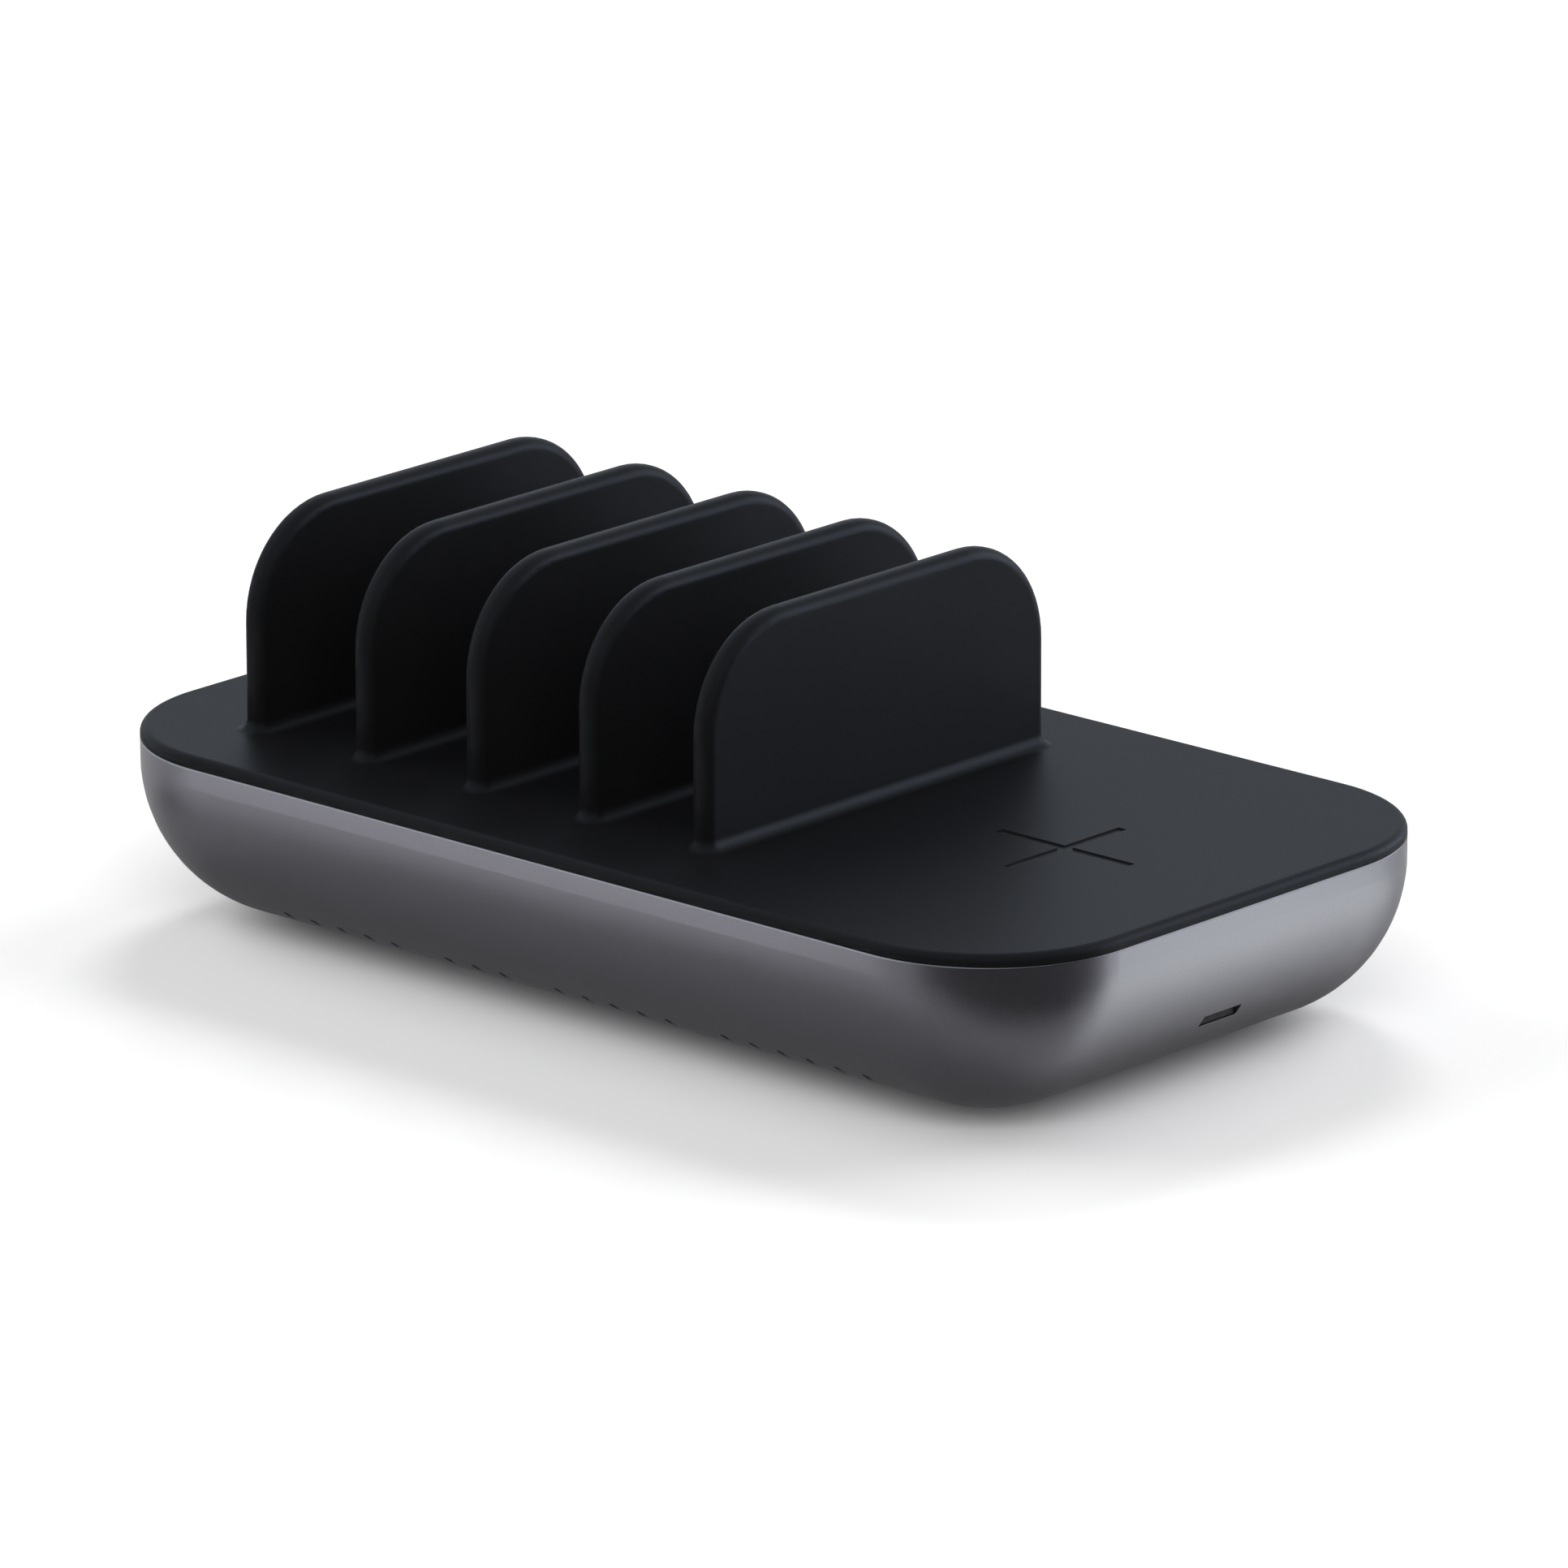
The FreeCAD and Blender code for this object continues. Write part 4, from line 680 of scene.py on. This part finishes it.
def add_stage_mesh(name, points, faces, material, in_gloss_only=False):
    """Piece of the stage; a card for the gloss is hidden from the camera and from plain light."""
    mesh = bpy.data.meshes.new(name)
    mesh.from_pydata(points, [], faces)
    mesh.materials.append(material)
    made = bpy.data.objects.new(name, mesh)
    bpy.context.scene.collection.objects.link(made)
    if in_gloss_only:
        made.visible_camera = False
        made.visible_diffuse = False
        made.visible_shadow = False
        made.visible_transmission = False


def add_sheet(name, half, level, material, in_gloss_only=False):
    """Square sheet of the stage, level with the floor."""
    corners = ((-1, -1), (1, -1), (1, 1), (-1, 1))
    points = [(x * half, y * half, level) for x, y in corners]
    add_stage_mesh(name, points, [(0, 1, 2, 3)], material, in_gloss_only)


def add_floor():
    """Pale floor that takes the part's shadow and runs into the white background."""
    material, graph = graph_for("floor_white")
    seen = graph.blend(seen_directly(graph), FLOOR_PALE, FLOOR_SEEN)
    tone = graph.blend(seen_in_gloss(graph), seen, FLOOR_IN_GLOSS)
    graph.finish(graph.node("ShaderNodeBsdfDiffuse", Color=tone).outputs["BSDF"])
    add_sheet("floor", FLOOR_HALF, cad_low.z - FLOOR_DROP, material)


def light_world():
    """White surroundings for what is seen directly, and a lower even light for the rest."""
    world = bpy.data.worlds.new("studio")
    world.use_nodes = True
    bpy.context.scene.world = world
    graph = Graph(world.node_tree)
    strength = graph.spread(seen_directly(graph), 0.0, 1.0, AMBIENT, 1.0)
    tone = graph.blend(seen_in_gloss(graph), PLAIN_WHITE, SKY_COOL)
    sky = graph.node("ShaderNodeBackground", Color=tone, Strength=strength)
    end = graph.node("ShaderNodeOutputWorld")
    graph.feed(end.inputs["Surface"], sky.outputs["Background"])


def add_softbox(name, toward, distance, size, radiance):
    """Area light that faces the part and isn't seen in its gloss; radiance 1 is paper white."""
    data = bpy.data.lights.new(name, "AREA")
    data.shape = "RECTANGLE"
    data.size, data.size_y = size
    data.energy = radiance * math.pi * size[0] * size[1]
    lamp = bpy.data.objects.new(name, data)
    back = Vector(toward).normalized()
    turn = back.to_track_quat("Z", "Y").to_matrix().to_4x4()
    lamp.matrix_world = Matrix.Translation(back * distance) @ turn
    lamp.visible_camera = False
    lamp.visible_glossy = False
    bpy.context.scene.collection.objects.link(lamp)


def add_glow(name, level, material, graph, cover, radiance, tint):
    """Sheet over the floor, seen in gloss only, that glows as far as it covers."""
    clear = graph.node("ShaderNodeBsdfTransparent").outputs["BSDF"]
    glow = graph.node("ShaderNodeEmission", Color=tint, Strength=radiance).outputs["Emission"]
    mix = graph.node("ShaderNodeMixShader", Fac=cover)
    graph.feed(mix.inputs[1], clear)
    graph.feed(mix.inputs[2], glow)
    graph.finish(mix.outputs["Shader"])
    add_sheet(name, CARD_HALF, cad_low.z + level * MM, material, in_gloss_only=True)


def inside_edges(graph, x, y, edges):
    """One inside straight edges and nought outside, fading between."""
    cover = 1.0
    for (edge_x, edge_y), heading, fade in edges:
        along, across = math.cos(math.radians(heading)), math.sin(math.radians(heading))
        run_x, run_y = graph.math("MULTIPLY", x, along), graph.math("MULTIPLY", y, across)
        depth = graph.math("ADD", run_x, run_y)
        start = (edge_x * along + edge_y * across) * MM
        inside = graph.spread(depth, start, start + fade * MM, 0.0, 1.0, smooth=True)
        cover = graph.math("MULTIPLY", cover, inside)
    return cover


def add_card(name, level, radiance, tint, edges):
    """Flat card over the floor that lifts or darkens what the gloss shows of the floor."""
    material, graph = graph_for(name)
    x, y, _ = graph.axes(graph.place())
    add_glow(name, level, material, graph, inside_edges(graph, x, y, edges), radiance, tint)


def add_contact_card(name, level, fade, most, radiance, edges):
    """Dark card close round the part, as the floor's contact shadow in the gloss."""
    material, graph = graph_for(name)
    x, y, _ = graph.axes(graph.place())
    past = []
    for run, half in ((x, cad_high.x), (y, cad_high.y)):
        over = graph.math("SUBTRACT", graph.math("ABSOLUTE", run), half - BODY_CORNER * MM)
        past.append(graph.math("POWER", graph.math("MAXIMUM", over, 0.0), 2.0))
    away = graph.math("SQRT", graph.math("ADD", *past))
    near, far = ((BODY_CORNER + distance) * MM for distance in fade)
    round_part = graph.spread(away, near, far, most, 0.0)
    cover = graph.math("MULTIPLY", round_part, inside_edges(graph, x, y, edges))
    add_glow(name, level, material, graph, cover, radiance, PLAIN_WHITE)


def add_upright_card(name, centre, radius, headings, height, radiance):
    """Upright curved card round a centre, seen in gloss only."""
    material, graph = graph_for(name)
    glow = graph.node("ShaderNodeEmission", Color=radiance, Strength=1.0)
    graph.finish(glow.outputs["Emission"])
    first, last = headings
    points = []
    for step in range(FLAG_STEPS + 1):
        heading = math.radians(first + (last - first) * step / FLAG_STEPS)
        x = (centre[0] + radius * math.cos(heading)) * MM
        y = (centre[1] + radius * math.sin(heading)) * MM
        points += [(x, y, cad_low.z), (x, y, cad_low.z + height * MM)]
    faces = [(i, i + 2, i + 3, i + 1) for i in range(0, 2 * FLAG_STEPS, 2)]
    add_stage_mesh(name, points, faces, material, in_gloss_only=True)


def add_lights():
    """Softboxes that light the part and the floor, and cards that its gloss shows."""
    for softbox in SOFTBOXES:
        add_softbox(*softbox)
    for card in CARDS:
        add_card(*card)
    for card in CONTACT_CARDS:
        add_contact_card(*card)
    for card in UPRIGHT_CARDS:
        add_upright_card(*card)


dress_nodes()
for number in (1, 2):
    add_usb_a_contacts(number)
    add_usb_c_contacts(number)
add_floor()
light_world()
add_lights()
add_camera()
bpy.context.scene.view_settings.view_transform = "Standard"
